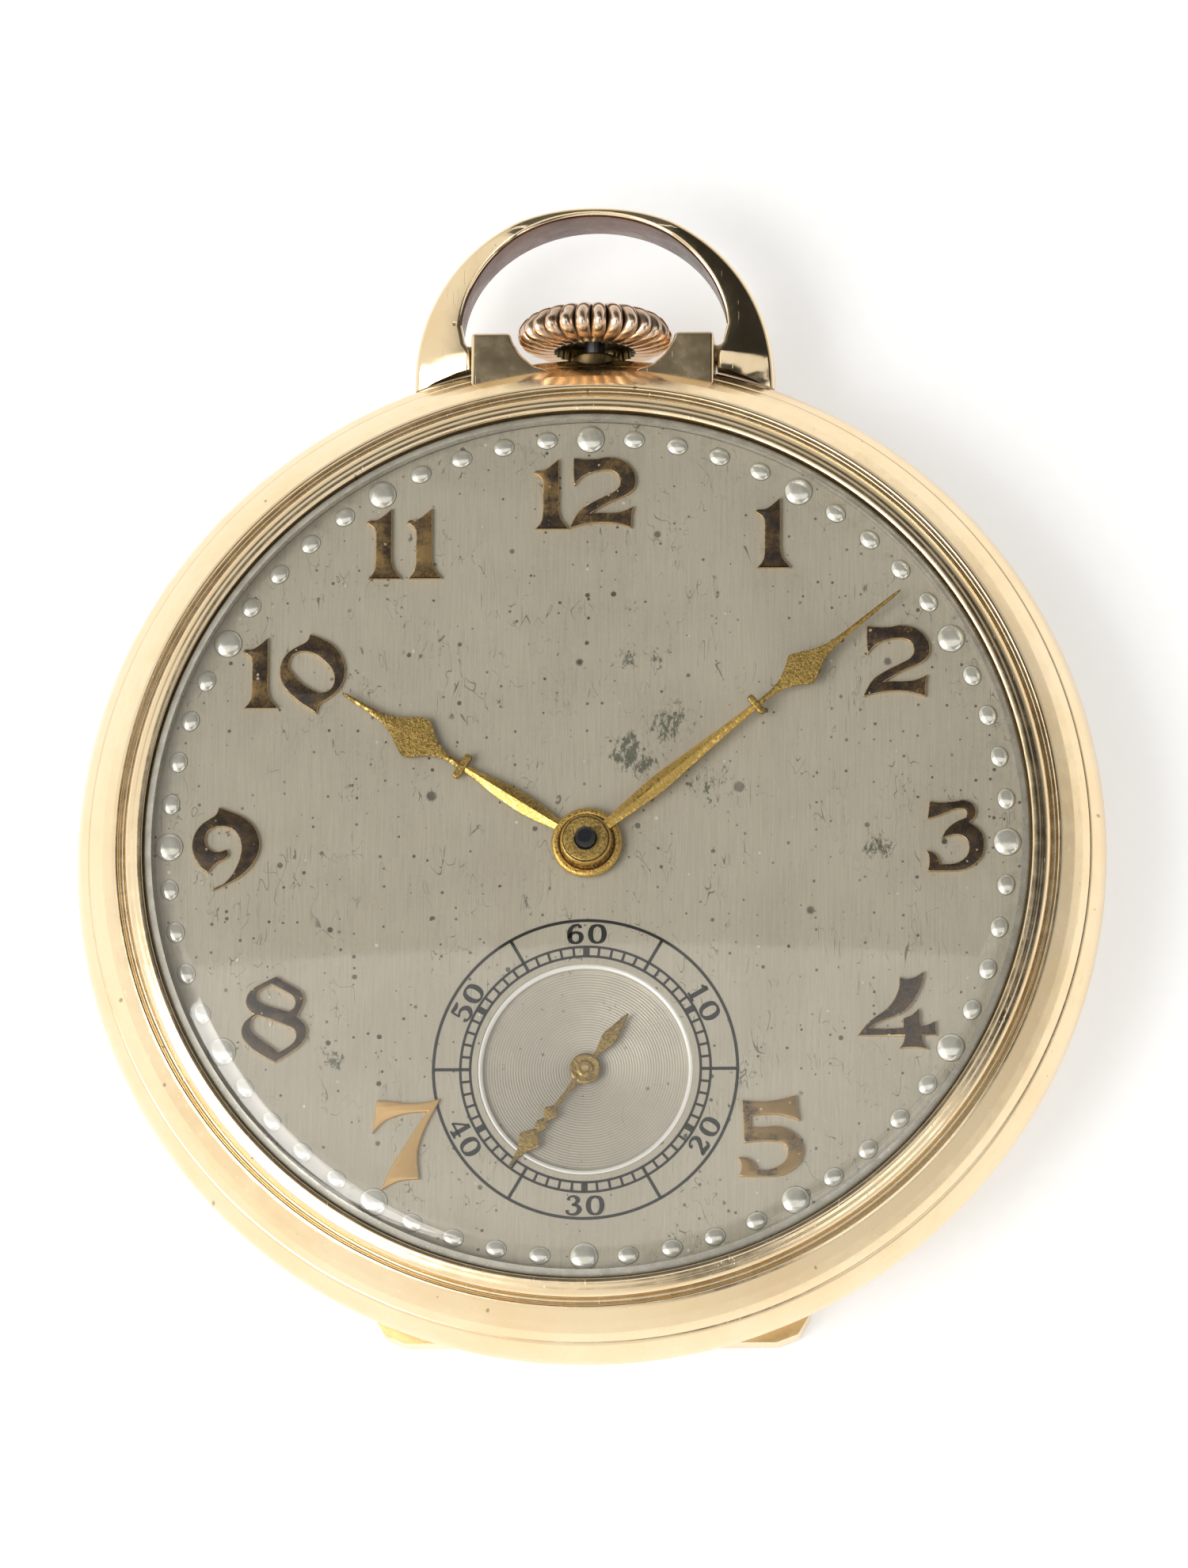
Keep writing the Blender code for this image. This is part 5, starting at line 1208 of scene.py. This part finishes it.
def boss_mesh(profile, steps, centre=(0.0, 0.0), rounding=0.03):
    """The turned hub of a hand."""
    return turned_mesh("boss", soften(profile, rounding, 3), steps, at=(*centre, 0.0), sharp=40.0)


def add_hand(name, parts, finishes, body, node):
    """A hand joined from (mesh, index of its finish) parts."""
    mesh = merged(name, [set_finish(part, index) for part, index in parts])
    add(name, mesh, finishes, body, [node])


def make_hour_hand():
    low, high = 7.08, 7.2
    shaft = blade_mesh([(1.3, 0.25, 1.0), (1.7, 0.25, 1.0), (2.4, 0.34, 1.0), (3.4, 0.40, 1.0),
                        (4.6, 0.33, 1.0), (5.6, 0.20, 1.0), (6.3, 0.15, 1.0)],
                       low, high + 0.08, HOUR_CLOCKWISE)
    spade = blade_mesh([(6.3, 0.16, 0.6), (6.7, 0.17, 0.6), (6.95, 0.12, 0.6), (7.4, 0.20, 0.3),
                        (7.9, 0.38, 0.15), (8.4, 0.76, 0.1), (8.72, 0.96, 0.1), (9.0, 0.92, 0.1),
                        (9.4, 0.68, 0.1), (9.9, 0.38, 0.15), (10.5, 0.19, 0.3), (11.3, 0.12, 0.5),
                        (12.2, 0.08, 0.5), (12.55, 0.03, 0.5)], low, high + 0.01, HOUR_CLOCKWISE)
    bar = bar_mesh(0.6, 0.17, 6.38, low - 0.01, high + 0.1, HOUR_CLOCKWISE)
    boss = boss_mesh([(0.97, low), (1.52, low), (1.52, low + 0.16), (1.42, low + 0.24),
                      (1.24, low + 0.24), (1.17, low + 0.14), (0.97, low + 0.14)], 96,
                     rounding=0.04)
    add_hand("hand_hours", [(shaft, 0), (spade, 1), (bar, 1), (boss, 0)],
             [HAND_BRIGHT, HAND_DULL], "hour", "hour_hand")


def make_minute_hand():
    low, high = 7.42, 7.54
    shaft = blade_mesh([(0.95, 0.22, 1.0), (1.3, 0.22, 1.0), (2.6, 0.31, 1.0), (4.0, 0.38, 1.0),
                        (5.8, 0.29, 1.0), (7.8, 0.19, 1.0), (9.3, 0.15, 1.0)],
                       low, high + 0.08, MINUTE_CLOCKWISE)
    spade = blade_mesh([(9.3, 0.15, 0.6), (9.8, 0.11, 0.6), (10.4, 0.14, 0.5), (10.9, 0.25, 0.3),
                        (11.4, 0.50, 0.15), (11.82, 0.78, 0.1), (12.1, 0.74, 0.1),
                        (12.6, 0.48, 0.1), (13.1, 0.27, 0.2), (13.8, 0.14, 0.4),
                        (15.2, 0.10, 0.5), (16.8, 0.07, 0.5), (17.4, 0.03, 0.5)],
                       low, high + 0.01, MINUTE_CLOCKWISE)
    bar = bar_mesh(0.5, 0.15, 9.42, low - 0.01, high + 0.1, MINUTE_CLOCKWISE)
    boss = boss_mesh([(0.70, low), (1.1, low), (1.1, low + 0.40), (1.02, low + 0.48),
                      (0.99, low + 0.44), (0.70, low + 0.44)], 96)
    add_hand("hand_minutes", [(shaft, 0), (spade, 1), (bar, 1), (boss, 0)],
             [HAND_BRIGHT, HAND_DULL], "minute", "minute_hand")


def make_collar():
    """The cannon pinion with the dull collar that shows round its pipe."""
    source = frame["nodes"]["cannon_pinion"].data.copy()
    collar = boss_mesh([(0.48, 7.86), (0.48, 7.97), (0.94, 7.97), (0.98, 7.93), (0.98, 7.90),
                        (0.70, 7.86)], 72)
    mesh = merged("centre_collar", [set_finish(source, 0), set_finish(collar, 1)])
    add("centre_collar", mesh, [WORKS["steel"], HAND_DULL], "minute", ["cannon_pinion"])


def make_seconds_hand():
    low, high = 6.86, 7.0
    front = blade_mesh([(0.5, 0.12, 0.5), (0.9, 0.14, 0.5), (1.3, 0.08, 0.5), (1.6, 0.10, 0.4),
                        (1.9, 0.08, 0.4), (2.15, 0.12, 0.3), (2.38, 0.33, 0.2), (2.6, 0.22, 0.2),
                        (2.8, 0.12, 0.3), (3.02, 0.24, 0.2), (3.22, 0.20, 0.2), (3.38, 0.12, 0.3),
                        (3.62, 0.30, 0.15), (3.92, 0.50, 0.1), (4.15, 0.36, 0.15),
                        (4.5, 0.18, 0.3), (4.9, 0.09, 0.5), (5.3, 0.03, 0.5)], low, high,
                       SECONDS_CLOCKWISE, SECONDS_AXIS.xy)
    tail = blade_mesh([(-0.5, 0.10, 0.5), (-0.9, 0.11, 0.4), (-1.25, 0.22, 0.3), (-1.7, 0.31, 0.2),
                       (-2.1, 0.23, 0.3), (-2.6, 0.12, 0.4), (-3.0, 0.03, 0.5)], low, high,
                      SECONDS_CLOCKWISE, SECONDS_AXIS.xy)
    boss = boss_mesh([(0.12, low), (0.66, low), (0.68, low + 0.1), (0.60, low + 0.14),
                      (0.36, low + 0.11), (0.30, low + 0.15), (0.12, low + 0.14)], 64,
                     SECONDS_AXIS.xy)
    add_hand("hand_seconds", [(front, 0), (tail, 0), (boss, 0)], [HAND_SMALL], "seconds",
             "seconds_hand")


# ---- studio ---------------------------------------------------------------------------------
VIEW_TARGET = Vector((0.27, 2.68, DIAL_Z))
VIEW_AWAY = Vector((0.06216, -0.23526, 0.96994))
VIEW_DISTANCE = 511.23
VIEW_ROLL = 0.465
LENS = 272.73


def make_camera():
    data = bpy.data.cameras.new("camera")
    data.lens = LENS
    data.sensor_width = 36.0
    data.sensor_fit = "AUTO"
    data.clip_start = 0.01
    data.clip_end = 10.0
    camera = bpy.data.objects.new("camera", data)
    bpy.context.scene.collection.objects.link(camera)
    back = VIEW_AWAY.normalized()
    right = Vector((0.0, 1.0, 0.0)).cross(back).normalized()
    turn = Matrix((right, back.cross(right), back)).transposed().to_4x4()
    roll = Matrix.Rotation(math.radians(VIEW_ROLL), 4, "Z")
    spot = (VIEW_TARGET + back * VIEW_DISTANCE) * MM
    camera.matrix_world = Matrix.Translation(spot) @ turn @ roll
    bpy.context.scene.camera = camera


def soft_box(name, centre, aim, size, radiance):
    """An area light whose face has a given brightness."""
    data = bpy.data.lights.new(name, "AREA")
    data.shape = "RECTANGLE"
    data.size, data.size_y = size[0] * MM, size[1] * MM
    data.energy = radiance * math.pi * data.size * data.size_y
    lamp = bpy.data.objects.new(name, data)
    bpy.context.scene.collection.objects.link(lamp)
    lamp.location = Vector(centre) * MM
    lamp.rotation_mode = "QUATERNION"
    lamp.rotation_quaternion = (Vector(aim) - Vector(centre)).to_track_quat("-Z", "Y")


DARK_SKY, DARKEST_SKY, PANEL_SKY = 0.12, 0.03, 0.82


class Sky(Surface):
    """The node tree of the surroundings, with the same steps as a material."""

    def __init__(self, world):
        world.use_nodes = True
        self.tree = world.node_tree


def make_world():
    """Surroundings: a tall white panel on the left and in front, dark overhead, pale low down."""
    world = bpy.data.worlds.new("studio")
    bpy.context.scene.world = world
    s = Sky(world)
    split = s.node("SeparateXYZ", {0: s.node("TexCoord").outputs["Generated"]})
    x, y, z = split.outputs["X"], split.outputs["Y"], split.outputs["Z"]
    lean = s.math("MULTIPLY_ADD", x, -0.85, s.times(y, -0.5))
    panel = s.ramp(lean, 0.16, 0.34, 0.0, PANEL_SKY)
    pale = s.math("MULTIPLY_ADD", y, -0.14, s.math("MULTIPLY_ADD", x, -0.15, 0.72))
    pale = s.times(pale, s.ramp(z, 0.35, 0.60, 1.0, 0.0))
    dark = s.ramp(x, 0.08, 0.45, DARK_SKY, DARKEST_SKY)
    background = s.tree.nodes["Background"]
    s.feed(background.inputs["Strength"], s.plus(s.most(panel, pale), dark))
    s.feed(background.inputs["Color"], (1.0, 0.975, 0.93, 1.0))


FLOOR_REACH, FLOOR_GAP = 2500.0, 0.02


def make_studio():
    """The floor under the watch, the surroundings and three soft lights."""
    vertices = [(-FLOOR_REACH, -FLOOR_REACH, 0.0), (FLOOR_REACH, -FLOOR_REACH, 0.0),
                (FLOOR_REACH, FLOOR_REACH, 0.0), (-FLOOR_REACH, FLOOR_REACH, 0.0)]
    mesh = bpy.data.meshes.new("floor")
    mesh.from_pydata([Vector(v) * MM for v in vertices], [], [(0, 1, 2, 3)])
    mesh.materials.append(floor_paper())
    floor = bpy.data.objects.new("floor", mesh)
    floor.location.z = -FLOOR_GAP * MM
    bpy.context.scene.collection.objects.link(floor)
    make_world()
    soft_box("overhead", (0.0, -50.0, 700.0), (0.0, -50.0, 0.0), (940.0, 280.0), 0.86)
    soft_box("key", (-330.0, -170.0, 420.0), (0.0, 0.0, 0.0), (320.0, 320.0), 6.2)
    soft_box("fill", (330.0, -300.0, 420.0), (0.0, 0.0, 0.0), (300.0, 240.0), 1.4)
    bpy.context.scene.view_settings.view_transform = "Standard"
    bpy.context.scene.view_settings.look = "None"


make_camera()
make_bezel()
make_middle()
make_back()
make_glass()
make_horns()
make_bow()
make_sleeve()
make_crown()
make_dial()
make_beads()
make_numerals()
make_seconds_print()
make_hour_hand()
make_minute_hand()
make_collar()
make_seconds_hand()
make_studio()
